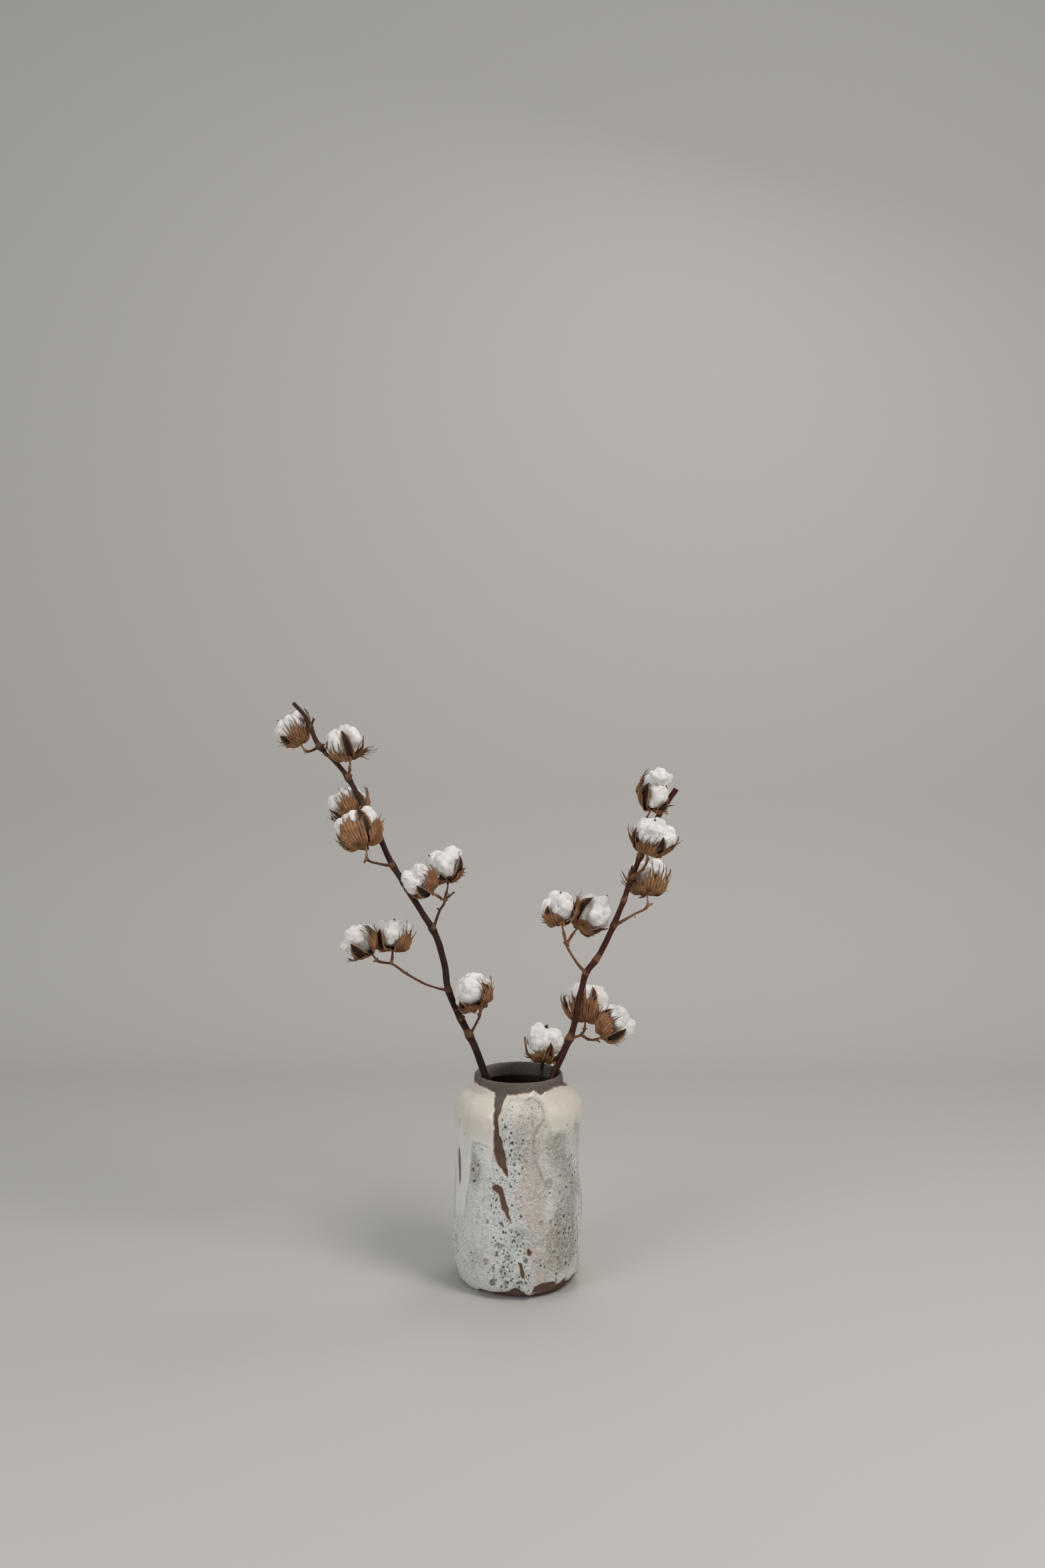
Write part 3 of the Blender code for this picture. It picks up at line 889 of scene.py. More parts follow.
# %% The coat's mesh
def coat_mesh():
    turn = np.linspace(-math.pi, math.pi, COAT_COLUMNS, endpoint=False)[None, :]
    v_line = np.linspace(*height_to_along(COAT_SPAN), COAT_ROWS)
    rows = np.stack([np.interp(v_line, along, outline[:, k]) for k in (0, 1)], axis=1)
    outward = np.stack([np.interp(v_line, along, outline_out[:, k]) for k in (0, 1)], axis=1)
    u = np.broadcast_to(turn * ROUND, (COAT_ROWS, COAT_COLUMNS))
    v = np.broadcast_to(v_line[:, None], u.shape)
    z = np.broadcast_to(rows[:, 1:], u.shape)
    base = wall_points(turn, rows, outward, uneven(turn, rows[:, 1:]))
    inside, height, zones = coat_relief(u, v, z, base.reshape(-1, 3))
    on = ease(0.3, 2.2, inside)
    pit_shadow, dents, rims, shade = (np.zeros(u.shape) for _ in range(4))
    for crater in crater_list():
        stamp(dents, pit_shadow, rims, turn.ravel() * ROUND, v_line, crater)
    height += on * dents
    add_lines(height, shade, u, v, on)
    tone = coat_tone(zones, z, shade)
    add_stones(height, tone, u, v, on)
    height = np.where(inside > 1.0, np.maximum(height, 0.12), height)
    front = wall_points(turn, rows, outward, uneven(turn, rows[:, 1:]) + height)
    back_rows = (np.array(BACK_ROWS) * (COAT_ROWS - 1)).astype(int)
    depth = np.full((len(back_rows), COAT_COLUMNS), COAT_BACK)
    back = wall_points(turn, rows[back_rows], outward[back_rows], depth)
    points = np.vstack([front.reshape(-1, 3), back.reshape(-1, 3)])
    total = COAT_ROWS + len(back_rows)
    quads = grid_quads(total, COAT_COLUMNS, wrap=True)
    last = (total - 1) * COAT_COLUMNS
    c = np.arange(COAT_COLUMNS)
    d = (c + 1) % COAT_COLUMNS
    close = np.stack([last + c, last + d, d, c], axis=1)
    mesh = mesh_from("vase_glaze", points, np.vstack([quads, close]))
    fill = len(back_rows) * COAT_COLUMNS

    def padded(values, default):
        return np.concatenate([values.ravel(), np.full(fill, default)])

    set_number(mesh, "inside", padded(inside, -3.0))
    set_number(mesh, "rough", padded(zones[0], 0.0))
    set_number(mesh, "foam", padded(zones[1], 0.0))
    set_number(mesh, "pit_shadow", padded(pit_shadow * on, 0.0))
    set_number(mesh, "rim", padded(rims * on * (1 - pit_shadow), 0.0))
    set_colour(mesh, "tone", np.vstack([tone.reshape(-1, 3), np.full((fill, 3), 0.5)]))
    return mesh


# %% [markdown]
# The glaze's slow colours are already stored on the mesh, because they follow
# its relief. Only what is finer than the mesh is left to the shader: grains,
# pinholes painted dark as their shade, the sugary surface of dry glaze, and the
# brown edge where it is thin.

# %% The glaze's finish
def glaze_material():
    """White glaze: stored tones, then speckles, pinholes painted dark as their shade, painted shadow in the
    craters, and a brown thin edge.
    """
    material, tree, shader, place = new_material("white_glaze")
    tone = attribute(tree, "tone").outputs["Color"]
    rough = attribute(tree, "rough").outputs["Fac"]
    foam = attribute(tree, "foam").outputs["Fac"]
    pit_shadow = attribute(tree, "pit_shadow").outputs["Fac"]
    inside = attribute(tree, "inside").outputs["Fac"]
    cloud = use_group(tree, BLOTCH, Vector=place, Scale=160.0).outputs["Mask"]
    uneven_tone = stain(tree, tone, cloud, 0.14, rgb(172, 166, 152))
    tan = use_group(tree, SPECKLE, Vector=place, Scale=800.0, Amount=0.16, Radius=0.3)
    holes = use_group(tree, SPECKLE, Vector=place, Scale=560.0, Amount=0.34, Radius=0.34)
    tiny = use_group(tree, SPECKLE, Vector=place, Scale=1150.0, Amount=0.4, Radius=0.38)
    busy = maths(tree, "MINIMUM", plus(tree, times(tree, rough, 0.55), foam), 1.0)
    pinhole_dent_and_shade = times(tree, holes.outputs["Mask"], plus(tree, times(tree, busy, 0.85), 0.03))
    grain = times(tree, tiny.outputs["Mask"], times(tree, rough, 0.5))
    sugar = noise(tree, place, 430.0, 5.0, 0.72, 0.6)
    dull = times(tree, remap(tree, sugar, 0.34, 0.48, 1.0, 0.0), times(tree, rough, 0.6))
    white = times(tree, remap(tree, sugar, 0.50, 0.62), times(tree, rough, 0.7))
    uneven_tone = mix_colour(tree, dull, uneven_tone, rgb(136, 129, 117))
    uneven_tone = mix_colour(tree, white, uneven_tone, rgb(228, 225, 217))
    colour = stain(tree, uneven_tone, tan.outputs["Mask"], 0.35, rgb(160, 142, 118))
    colour = mix_colour(tree, grain, colour, rgb(132, 126, 114))
    # painted shade: each pinhole is painted dark grey as well as dented in the bump
    colour = mix_colour(tree, pinhole_dent_and_shade, colour, rgb(70, 74, 74))
    rim = attribute(tree, "rim").outputs["Fac"]
    colour = stain(tree, colour, rim, 0.55, rgb(222, 222, 214))
    # painted shadow: the middles of the craters are darkened almost to black
    colour = stain(tree, colour, pit_shadow, 0.95, rgb(50, 50, 48))
    thin = remap(tree, inside, 0.1, 1.3, 1.0, 0.0)
    colour = stain(tree, colour, thin, 0.8, rgb(148, 112, 84))
    gloss = plus(tree, 0.22, times(tree, busy, 0.34))
    dress(tree, shader, Base_Color=colour, Roughness=plus(tree, gloss, times(tree, cloud, 0.08)))
    relief = plus(tree, noise(tree, place, 620.0, 4.0, 0.6), sugar)
    relief = times(tree, relief, plus(tree, times(tree, rough, 1.1), 0.08))
    relief = maths(tree, "SUBTRACT", relief, times(tree, pinhole_dent_and_shade, 0.9))
    relief = maths(tree, "SUBTRACT", relief, times(tree, grain, 0.5))
    bumps(tree, shader, relief, 0.0011, 0.85)
    return material


coat = keep_piece("vase_glaze", coat_mesh(), glaze_material(), "stoneware", "vase")
print("glaze coat:", len(coat.data.polygons), "faces")


# %% [markdown]
# ## The stems
# Each stem is a woody cotton stalk, cut low and stood in the vase. Twigs leave
# it at swollen nodes, and each ends in the short stalk of a boll. Tubes along
# smooth paths give the limbs; a voxel remesh then melts them into one skin, so
# every fork has a real crotch. After that each point looks up the nearest spot
# on a path, and from it gets a place in bark space: round the limb and along it.

# %% Routes of the limbs
Boll = namedtuple("Boll", "number stem twig seat centre width top")
LEFT_STEM = [
    (60, -4, 15, 4.7), (28, -9, 92, 4.8), (-8, -15, 182, 4.8), (-41, -20, 260, 4.6),
    (-56, -21, 300, 4.4), (-72, -21, 331, 4.2), (-87, -22, 367, 4.2), (-94, -22, 407, 4.1),
    (-105, -22, 440, 4.1), (-120, -22, 464, 3.9), (-143, -20, 500, 3.8), (-157, -19, 522, 3.8),
    (-177, -17, 566, 3.6), (-197, -15, 602, 3.3), (-218, -13, 638, 3.1), (-233, -12, 655, 3.0),
    (-249, -11, 670, 3.0), (-267, -9, 707, 2.7), (-283, -8, 725, 2.6),
]
RIGHT_STEM = [
    (-22, 24, 12, 4.7), (0, 14, 100, 4.8), (22, 6, 178, 4.7), (45, -3, 258, 4.4),
    (56, -4, 284, 4.3), (66, -5, 308, 4.2), (79, -7, 365, 3.9), (85, -8, 386, 3.9),
    (97, -8, 402, 3.8), (120, -8, 447, 3.6), (132, -8, 477, 3.4), (142, -7, 505, 3.4),
    (156, -6, 539, 3.3), (174, -5, 579, 3.3), (198.5, -4, 616.5, 3.6),
]
SHORT_STEM = [(12, 52, 12, 2.4), (19, 32, 130, 2.3), (25, 14, 225, 2.2), (28, 10, 254, 2.0)]
BOLLS = [
    Boll(1, "left_stem", [(-249, -11, 670), (-267, -5, 664)], (-275, 1, 674), (-285, 5, 693), 42, 19),
    Boll(2, "left_stem", [(-213, -14, 631), (-211, -15, 643)],
         (-212, -15, 656), (-217, -19, 675), 45, 24),
    Boll(3, "left_stem", [(-193, -16, 596), (-198, -8, 583)], (-204, 2, 578), (-214, 6, 596), 46, 22),
    Boll(4, "left_stem", [(-157, -19, 522), (-173, -34, 526), (-186, -48, 534)],
         (-188, -51, 551), (-196, -44, 570), 52, 23),
    Boll(5, "left_stem", [(-106, -22, 443), (-98, -26, 467), (-92, -31, 480), (-100, -34, 486)],
         (-110, -37, 493), (-121, -43, 506), 40, 23),
    Boll(6, "left_stem", [(-92, -31, 480), (-90, -23, 488)], (-89, -14, 502), (-92, -9, 522), 44, 23),
    Boll(7, "left_stem", [(-87, -22, 367), (-98, -23, 369), (-121, -25, 378), (-140, -26, 389),
                          (-158, -27, 401), (-175, -28, 405)],
         (-184, -30, 416), (-198, -34, 431), 42, 22),
    Boll(8, "left_stem", [(-158, -27, 401), (-157, -25, 408)],
         (-157, -23, 418), (-157, -19, 435), 44, 20),
    Boll(9, "left_stem", [(-61, -21, 311), (-53, -26, 326), (-48, -31, 340)],
         (-50, -34, 353), (-58, -38, 369), 48, 23),
    Boll(10, "right_stem", [(152, -6, 532), (157, -9, 561), (160, -14, 580)],
         (165, -19, 592), (173, -24, 615), 45, 32),
    Boll(11, "right_stem", [(142, -7, 505), (155, -19, 517), (160, -28, 530)],
         (161, -33, 543), (168, -39, 562), 50, 22),
    Boll(12, "right_stem", [(120, -8, 445), (144, -2, 458), (163, 6, 468)],
         (163, 12, 484), (163, 20, 502), 50, 24),
    Boll(13, "right_stem", [(85, -8, 385), (71, -8, 402), (60, -9, 422), (57, -10, 436)],
         (54, -11, 449), (50, -14, 468), 42, 22),
    Boll(14, "right_stem", [(60, -9, 422), (68, -6, 434)], (75, -3, 442), (92, 3, 458), 45, 28),
    Boll(15, "right_stem", [(65, -5, 304), (79, 3, 306), (84, 12, 311)],
         (85, 20, 320), (87, 27, 340), 52, 25),
    Boll(16, "right_stem", [(79, 3, 306), (89, -2, 301), (98, -6, 302)],
         (105, -8, 307), (122, -8, 324), 46, 22),
    Boll(17, "short_stem", [], (31, 9, 272), (33, 11.5, 293), 48, 26),
]
NODE_RADIUS, TWIG_RADIUS, NECK_RADIUS, SEAT_RADIUS = 2.3, 1.65, 1.45, 2.5
SHORT_END_RADIUS = 2.6


def unit(vector):
    vector = np.asarray(vector, dtype=float)
    return vector / np.linalg.norm(vector)


def boll_up(boll):
    return unit(np.subtract(boll.centre, boll.seat))


def seat_distance(boll):
    return float(np.linalg.norm(np.subtract(boll.centre, boll.seat)))


def twig_route(boll):
    """A twig with its radius: stout at the node, slim, then wide under the boll."""
    end = np.array(boll.seat) + 1.5 * boll_up(boll)
    below = np.array(boll.seat) - 3.0 * boll_up(boll)
    knots = [p + (TWIG_RADIUS,) for p in boll.twig]
    if knots:
        knots[0] = boll.twig[0] + (NODE_RADIUS,)
    return knots + [tuple(below) + (NECK_RADIUS,), tuple(end) + (SEAT_RADIUS,)]


for stem_name in ("left_stem", "right_stem", "short_stem"):
    print(stem_name, "bears", sum(b.stem == stem_name for b in BOLLS), "bolls")


# %% Nodes, stubs and scars
STUBS = {  # short broken side twigs: base, tip, base radius
    "left_stem": [
        ((-261, -9.5, 694), (-256, -9, 706), 2.0), ((-249, -11, 670), (-243, -13, 673), 2.4),
        ((-92, -31, 480), (-79, -30, 491), 1.6), ((-92, -31, 480), (-86, -33, 487), 1.7),
        ((-175, -28, 405), (-181, -26, 403.5), 1.6), ((-186, -48, 534), (-190, -50, 529), 1.9),
        ((-48, -31, 340), (-45, -33, 345), 1.5), ((-61, -21, 311), (-65, -24, 315), 2.6),
        ((-143, -20, 500), (-139, -23, 503), 2.4), ((-72, -21, 331), (-67, -22, 335), 2.2),
        ((-213, -14, 631), (-208, -16, 635), 2.2), ((-177, -17, 566), (-181, -20, 569), 2.0),
    ],
    "right_stem": [
        ((163, 6, 468), (170, 8, 471), 1.9), ((152, -6, 532), (149, -9, 536), 2.2),
        ((97, -8, 402), (101, -10, 406), 2.2), ((65, -5, 304), (61, -8, 308), 2.4),
        ((98, -6, 302), (103, -7, 298), 1.6), ((60, -9, 422), (56, -10, 425), 1.6),
        ((132, -8, 477), (136, -10, 480), 2.0), ((157, -9, 561), (160, -11, 563), 1.5),
    ],
    "short_stem": [((28, 10, 254), (31.5, 7.5, 257), 1.4)],
}
print("stubs:", sum(len(stubs) for stubs in STUBS.values()))
STEM_SWELL, TWIG_SWELL = 0.8, 0.35
MAIN_SIDES, TWIG_SIDES = 20, 12
FIRST_SIDE = (0.3, 1, 0.1)  # where the first corner of each tube looks
BARK_SHIFT = 137.0         # keeps the bark of two limbs from repeating


def swollen(route, nodes, swell):
    """Thicken a limb for a few millimetres at each node, as bark closes round it."""
    path = smooth_path(route, 1.6)
    for place in nodes:
        away = np.linalg.norm(path[:, :3] - place, axis=1)
        path[:, 3] += swell * np.exp(-(away / 4.5) ** 2)
    path[:, :3] += 0.35 * np.stack([hills(path[:, :3], 17, s) for s in (61, 62, 63)], axis=1)
    return path


def tube(path, sides):
    """A closed tube along a path whose fourth column is its radius."""
    way = np.gradient(path[:, :3], axis=0)
    way /= np.linalg.norm(way, axis=1)[:, None]
    across = unit(np.cross(way[0], FIRST_SIDE))
    rings = []
    angles = np.linspace(0, 2 * math.pi, sides, endpoint=False)
    for place, heading in zip(path, way):
        across = unit(across - heading * np.dot(across, heading))
        other = np.cross(heading, across)
        circle = np.outer(np.cos(angles), across) + np.outer(np.sin(angles), other)
        rings.append(place[:3] + place[3] * circle)
    return cap_rows(np.vstack(rings), len(path), sides, path[0, :3], path[-1, :3])


def merged(name, pieces):
    """One mesh from several (points, faces) pairs."""
    points, faces, start = [], [], 0
    for piece_points, piece_faces in pieces:
        points.append(piece_points)
        faces.extend([tuple(int(i) + start for i in face) for face in piece_faces])
        start += len(piece_points)
    return mesh_from(name, np.vstack(points), faces)


# %% Bark space
def bark_place(points, paths):
    """Each point's nearest path spot: (across, other, along), the radius, and which path."""
    tree = kdtree.KDTree(sum(len(path) for path in paths))
    spots, index = [], 0
    for number, path in enumerate(paths):
        way = np.gradient(path[:, :3], axis=0)
        way /= np.linalg.norm(way, axis=1)[:, None]
        side = unit(np.cross(way[0], FIRST_SIDE))
        travelled = 0.0
        for k, place in enumerate(path):
            side = unit(side - way[k] * np.dot(side, way[k]))
            travelled += np.linalg.norm(place[:3] - path[k - 1, :3]) if k else 0
            spots.append((place[:3], side, np.cross(way[k], side), way[k], travelled, place[3], number))
            tree.insert(place[:3], index)
            index += 1
    tree.balance()
    nearest = np.array([tree.find(p)[1] for p in points.tolist()])
    origin = np.array([s[0] for s in spots])[nearest]
    offset = points - origin
    frames = [np.array([s[k] for s in spots])[nearest] for k in (1, 2, 3)]
    place = np.stack([np.einsum("ij,ij->i", offset, f) for f in frames], axis=1)
    place[:, 2] += np.array([s[4] for s in spots])[nearest]
    number = np.array([s[6] for s in spots])[nearest]
    place[:, 2] += BARK_SHIFT * number
    return place, np.array([s[5] for s in spots])[nearest], number


BARKS = {
    "left_stem": {"low": rgb(31, 13, 10), "middle": rgb(46, 28, 18), "high": rgb(54, 32, 23),
                  "twig": rgb(98, 60, 39), "stalk": rgb(162, 121, 85), "scar": rgb(128, 100, 74),
                  "dark": rgb(18, 9, 7)},
    "right_stem": {"low": rgb(62, 29, 20), "middle": rgb(74, 26, 17), "high": rgb(88, 35, 23),
                   "twig": rgb(128, 82, 53), "stalk": rgb(168, 125, 87), "scar": rgb(140, 108, 80),
                   "dark": rgb(28, 11, 8)},
    "short_stem": {"low": rgb(48, 31, 25), "middle": rgb(54, 36, 28), "high": rgb(70, 48, 36),
                   "twig": rgb(70, 48, 36), "stalk": rgb(84, 60, 46), "scar": rgb(112, 88, 70),
                   "dark": rgb(30, 20, 17)},
}
DARK_STALKS = (6, 8)       # bolls whose stalks are as dark as their twigs


def bark_tone(name, points, place, number, scars):
    """Bark colours: changing up the stem, streaked, pale on stalks, ends and scars."""
    bark = {key: np.array(value[:3]) for key, value in BARKS[name].items()}
    z = points[:, 2]
    tone = np.repeat(bark["low"][None], len(points), axis=0)

    def wash(share, key):
        amount = np.clip(share, 0, 1)[:, None]
        tone[:] = between(tone, bark[key], amount)

    slow = hills(place * (0.6, 0.6, 0.25), 6, 71, 2)
    wash(ease(300, 440, z + 30 * slow), "middle")
    wash(ease(560, 640, z + 20 * slow), "high")
    wash(0.9 * (number > 0), "twig")
    for boll in BOLLS:
        if boll.stem == name and boll.twig and boll.number not in DARK_STALKS:
            start = np.array(boll.twig[-1], dtype=float)
            run = unit(boll.seat - start)
            ahead = (points - start) @ run
            aside = np.linalg.norm(points - start - np.outer(ahead, run), axis=1)
            wash(0.9 * (number > 0) * ease(-3, 4, ahead) * (1 - ease(4, 7, aside)), "stalk")
    wash(0.7 * np.clip(hills(place * (1, 1, 0.07), 1.7, 72, 2) - 0.15, 0, 1), "dark")
    wash(0.2 * np.clip(hills(place * (1, 1, 0.1), 2.2, 73, 2) - 0.25, 0, 1), "scar")
    for spot_at, reach in scars:
        away = np.linalg.norm(points - spot_at, axis=1)
        wash(0.6 * np.exp(-(away / reach) ** 2) * (0.5 + 0.9 * slow), "scar")
    return tone


# %% Growing a stem
def stem_mesh(name, route, bolls, voxel):
    twigs = [swollen(twig_route(b), [b.twig[-1]], TWIG_SWELL) for b in bolls if b.twig]
    nodes = [b.twig[0] for b in bolls if b.twig] + [stub[0] for stub in STUBS[name]]
    if name == "short_stem":
        route = route + [tuple(bolls[0].seat) + (SHORT_END_RADIUS,)]
    main = swollen(route, nodes, STEM_SWELL)
    stubs = []
    for base, tip, radius in STUBS[name]:
        middle = tuple(np.mean([base, tip], axis=0))
        stubs.append(smooth_path([base + (radius,), middle + (radius * 0.8,), tip + (radius * 0.68,)], 1.0))
    paths = [main] + twigs + stubs
    tubes = [tube(main, MAIN_SIDES)] + [tube(p, TWIG_SIDES) for p in twigs + stubs]
    mesh = voxel_union(name, merged(name, tubes), voxel)
    soften(mesh, 2, 0.5)
    points = mesh_points(mesh)
    normals = mesh_normals(mesh)
    place, radius, number = bark_place(points, paths)
    ridges = hills(place * (1, 1, 0.1), 1.5, 74, 2) * 0.20 + hills(place * (1, 1, 0.35), 4.5, 75) * 0.22
    wrinkle = hills(place, 1.3, 76) * 0.10
    thin = np.clip(radius / 3.5, 0.35, 1.0)
    points += normals * ((ridges + wrinkle) * thin)[:, None]
    move_points(mesh, points)
    set_vector(mesh, "grain", place * MM)
    set_number(mesh, "open", np.ones(len(points)))
    scars = [(np.array(tip), 2.2) for _, tip, _ in STUBS[name]] + [(main[-1, :3], 2.6)]
    scars += [(np.array(n, dtype=float) + (0, -2, 1.5), 3.4) for n in nodes]
    set_colour(mesh, "tone", bark_tone(name, points, place, number, scars))
    return mesh


# %% The bark's finish
def bark_material(name, gloss):
    """Dry bark: the stored tones, fine fibres along the limb, and a dull polish."""
    material, tree, shader, _ = new_material(name)
    tone = attribute(tree, "tone").outputs["Color"]
    bark = attribute(tree, "grain").outputs["Vector"]
    fibre = use_group(tree, GRAIN, Vector=bark, Scale=1300.0, Stretch=0.09)
    broad = use_group(tree, GRAIN, Vector=bark, Scale=420.0, Stretch=0.16)
    dots = use_group(tree, SPECKLE, Vector=bark, Scale=520.0, Amount=0.14, Radius=0.34)
    colour = stain(tree, tone, fibre.outputs["Mask"], 0.4, rgb(30, 19, 15))
    colour = stain(tree, colour, broad.outputs["Mask"], 0.04, rgb(120, 88, 68))
    colour = stain(tree, colour, dots.outputs["Mask"], 0.22, rgb(124, 92, 70))
    rough = remap(tree, fibre.outputs["Height"], 0.3, 0.7, gloss, gloss + 0.22)
    dress(tree, shader, Base_Color=colour, Roughness=rough, Specular_IOR_Level=0.15)
    relief = plus(tree, fibre.outputs["Height"], times(tree, dots.outputs["Mask"], 0.5))
    bumps(tree, shader, relief, 0.0005, 0.7)
    return material


# %% [markdown]
# ## Scattering small things
# Pores on bark and loose fibres on cotton are the same job: many copies of one
# tiny shape, spread over a surface, each turned and sized a little differently.
# One Geometry Nodes tree does it. Its inputs are the shape to copy, how many
# per square metre, their sizes, how far they lean, a seed and the material.
# Each surface also stores a number called `open`: none grow where it is 0.

# %% The scatter tree
FULL_TURN = 6.283


def random_value(tree, kind, low, high, seed):
    """A different number or vector for each point, between two ends."""
    made = node(tree, "FunctionNodeRandomValue", {"data_type": kind}, Seed=seed)
    sort = "VECTOR" if kind == "FLOAT_VECTOR" else "VALUE"
    for socket, value in zip([s for s in made.inputs if s.type == sort], (low, high)):
        feed(tree, socket, value)
    return [s for s in made.outputs if s.type == sort][0]


def scatter_tree():
    """Points on the faces, a stamp on each point, and all of it made real."""
    tree = bpy.data.node_groups.new("Scatter", "GeometryNodeTree")
    sockets = {}
    for label, kind in (("Geometry", "NodeSocketGeometry"), ("Stamp", "NodeSocketObject"),
                        ("Density", "NodeSocketFloat"), ("Smallest", "NodeSocketFloat"),
                        ("Largest", "NodeSocketFloat"), ("Lean", "NodeSocketFloat"),
                        ("Seed", "NodeSocketInt"), ("Finish", "NodeSocketMaterial")):
        sockets[label] = tree.interface.new_socket(label, in_out="INPUT", socket_type=kind).identifier
    tree.interface.new_socket("Geometry", in_out="OUTPUT", socket_type="NodeSocketGeometry")
    start = tree.nodes.new("NodeGroupInput").outputs
    points = node(tree, "GeometryNodeDistributePointsOnFaces", _0=start["Geometry"])
    bare = node(tree, "GeometryNodeInputNamedAttribute", {"data_type": "FLOAT"}, Name="open")
    free = times(tree, start["Density"], bare.outputs[0])
    tree.links.new(free, points.inputs["Density"])
    tree.links.new(start["Seed"], points.inputs["Seed"])
    stamp_info = node(tree, "GeometryNodeObjectInfo", _0=start["Stamp"])
    size = random_value(tree, "FLOAT", start["Smallest"], start["Largest"], start["Seed"])
    back = times(tree, start["Lean"], -1.0)
    least = node(tree, "ShaderNodeCombineXYZ", _0=back, _1=back, _2=0.0).outputs[0]
    most = node(tree, "ShaderNodeCombineXYZ", _0=start["Lean"], _1=start["Lean"], _2=0.0).outputs[0]
    tilt = random_value(tree, "FLOAT_VECTOR", least, most, plus(tree, start["Seed"], 5.0))
    spin = random_value(tree, "FLOAT", 0.0, FULL_TURN, plus(tree, start["Seed"], 9.0))
    upright = node(tree, "ShaderNodeCombineXYZ", _0=0.0, _1=0.0, _2=spin).outputs[0]
    heading = points.outputs["Rotation"]
    for angles in (upright, tilt):
        turn = node(tree, "FunctionNodeEulerToRotation", _0=angles).outputs[0]
        heading = node(tree, "FunctionNodeRotateRotation", {"rotation_space": "LOCAL"},
                       _0=heading, _1=turn).outputs[0]
    copies = tree.nodes.new("GeometryNodeInstanceOnPoints")
    tree.links.new(points.outputs["Points"], copies.inputs["Points"])
    tree.links.new(stamp_info.outputs["Geometry"], copies.inputs["Instance"])
    tree.links.new(heading, copies.inputs["Rotation"])
    tree.links.new(size, copies.inputs["Scale"])
    joined = tree.nodes.new("GeometryNodeJoinGeometry")
    tree.links.new(copies.outputs[0], joined.inputs[0])
    tree.links.new(start["Geometry"], joined.inputs[0])
    real = node(tree, "GeometryNodeRealizeInstances", _0=joined.outputs[0])
    finish = node(tree, "GeometryNodeSetMaterial", _0=real.outputs[0])
    tree.links.new(start["Finish"], finish.inputs["Material"])
    tree.links.new(finish.outputs[0], tree.nodes.new("NodeGroupOutput").inputs[0])
    return tree, sockets


SCATTER, SCATTER_INPUTS = scatter_tree()
print("nodes in the scatter tree:", len(SCATTER.nodes))


def scattered(name, mesh, **settings):
    """The mesh with its scattered copies, as one plain mesh."""
    host = object_from(name, mesh)
    maker = host.modifiers.new("scatter", "NODES")
    maker.node_group = SCATTER
    for label, value in settings.items():
        maker[SCATTER_INPUTS[label]] = value
    depsgraph = bpy.context.evaluated_depsgraph_get()
    result = bpy.data.meshes.new_from_object(host.evaluated_get(depsgraph), depsgraph=depsgraph)
    host.modifiers.remove(maker)
    bpy.data.objects.remove(host)
    result.name = name
    result.shade_smooth()
    return result


def unit_ball(rounds):
    """Points and faces of a ball of radius 1."""
    shape = bmesh.new()
    bmesh.ops.create_icosphere(shape, subdivisions=rounds, radius=1.0)
    points = np.array([tuple(v.co) for v in shape.verts])
    faces = [tuple(v.index for v in f.verts) for f in shape.faces]
    shape.free()
    return points, faces


def pore_stamp(colour):
    """A tiny oval bump of pale cork, sunk to half its height in the bark."""
    points, faces = unit_ball(1)
    mesh = mesh_from("pore", points * (0.42, 0.24, 0.16), faces)
    set_colour(mesh, "tone", [colour] * len(points))
    set_vector(mesh, "grain", points * MM)
    return object_from("pore", mesh)


# %% The three stems
def finished_stem(name, route, voxel, slot, material, pores):
    mesh = stem_mesh(name, route, [b for b in BOLLS if b.stem == name], voxel)
    pore = pore_stamp(BARKS[name]["scar"])
    mesh = scattered(name, mesh, Stamp=pore, Density=pores, Smallest=0.7, Largest=1.6, Lean=0.1,
                     Seed=3, Finish=material)
    bpy.data.objects.remove(pore)
    stem = keep_piece(f"{name}_bark", mesh, None, slot, name)
    print(name, "has", len(stem.data.polygons), "faces")


dark_bark, red_bark = bark_material("dark_cotton_bark", 0.42), bark_material("red_cotton_bark", 0.46)
finished_stem("left_stem", LEFT_STEM, 0.72, "dark_bark", dark_bark, 14000.0)
finished_stem("right_stem", RIGHT_STEM, 0.68, "red_bark", red_bark, 14000.0)
finished_stem("short_stem", SHORT_STEM, 0.55, "dark_bark", dark_bark, 9000.0)


# %% [markdown]
# ## The bolls
# A ripe cotton boll splits into four or five locks of lint. Between the locks
# stand the dry dark valves of the burr, shaped like small boats with pale
# margins and a hooked tip, and below them three papery bracts with long ragged
# teeth cup the whole. Every boll opened in its own way, so a table says for
# each where its locks, valves and bracts are. Directions round a boll are in
# degrees, from its front towards its right as the viewer sees it. Heights are
# in degrees too: 0 under the boll at its stalk, 90 at its widest, 180 on top.

# %% How each boll opened
Look = namedtuple("Look", "locks valves bracts")


def back_valve(direction):
    """A plain valve, for where a boll shows little of itself."""
    return (direction, 92, 0.3, 0.1, 0.1)


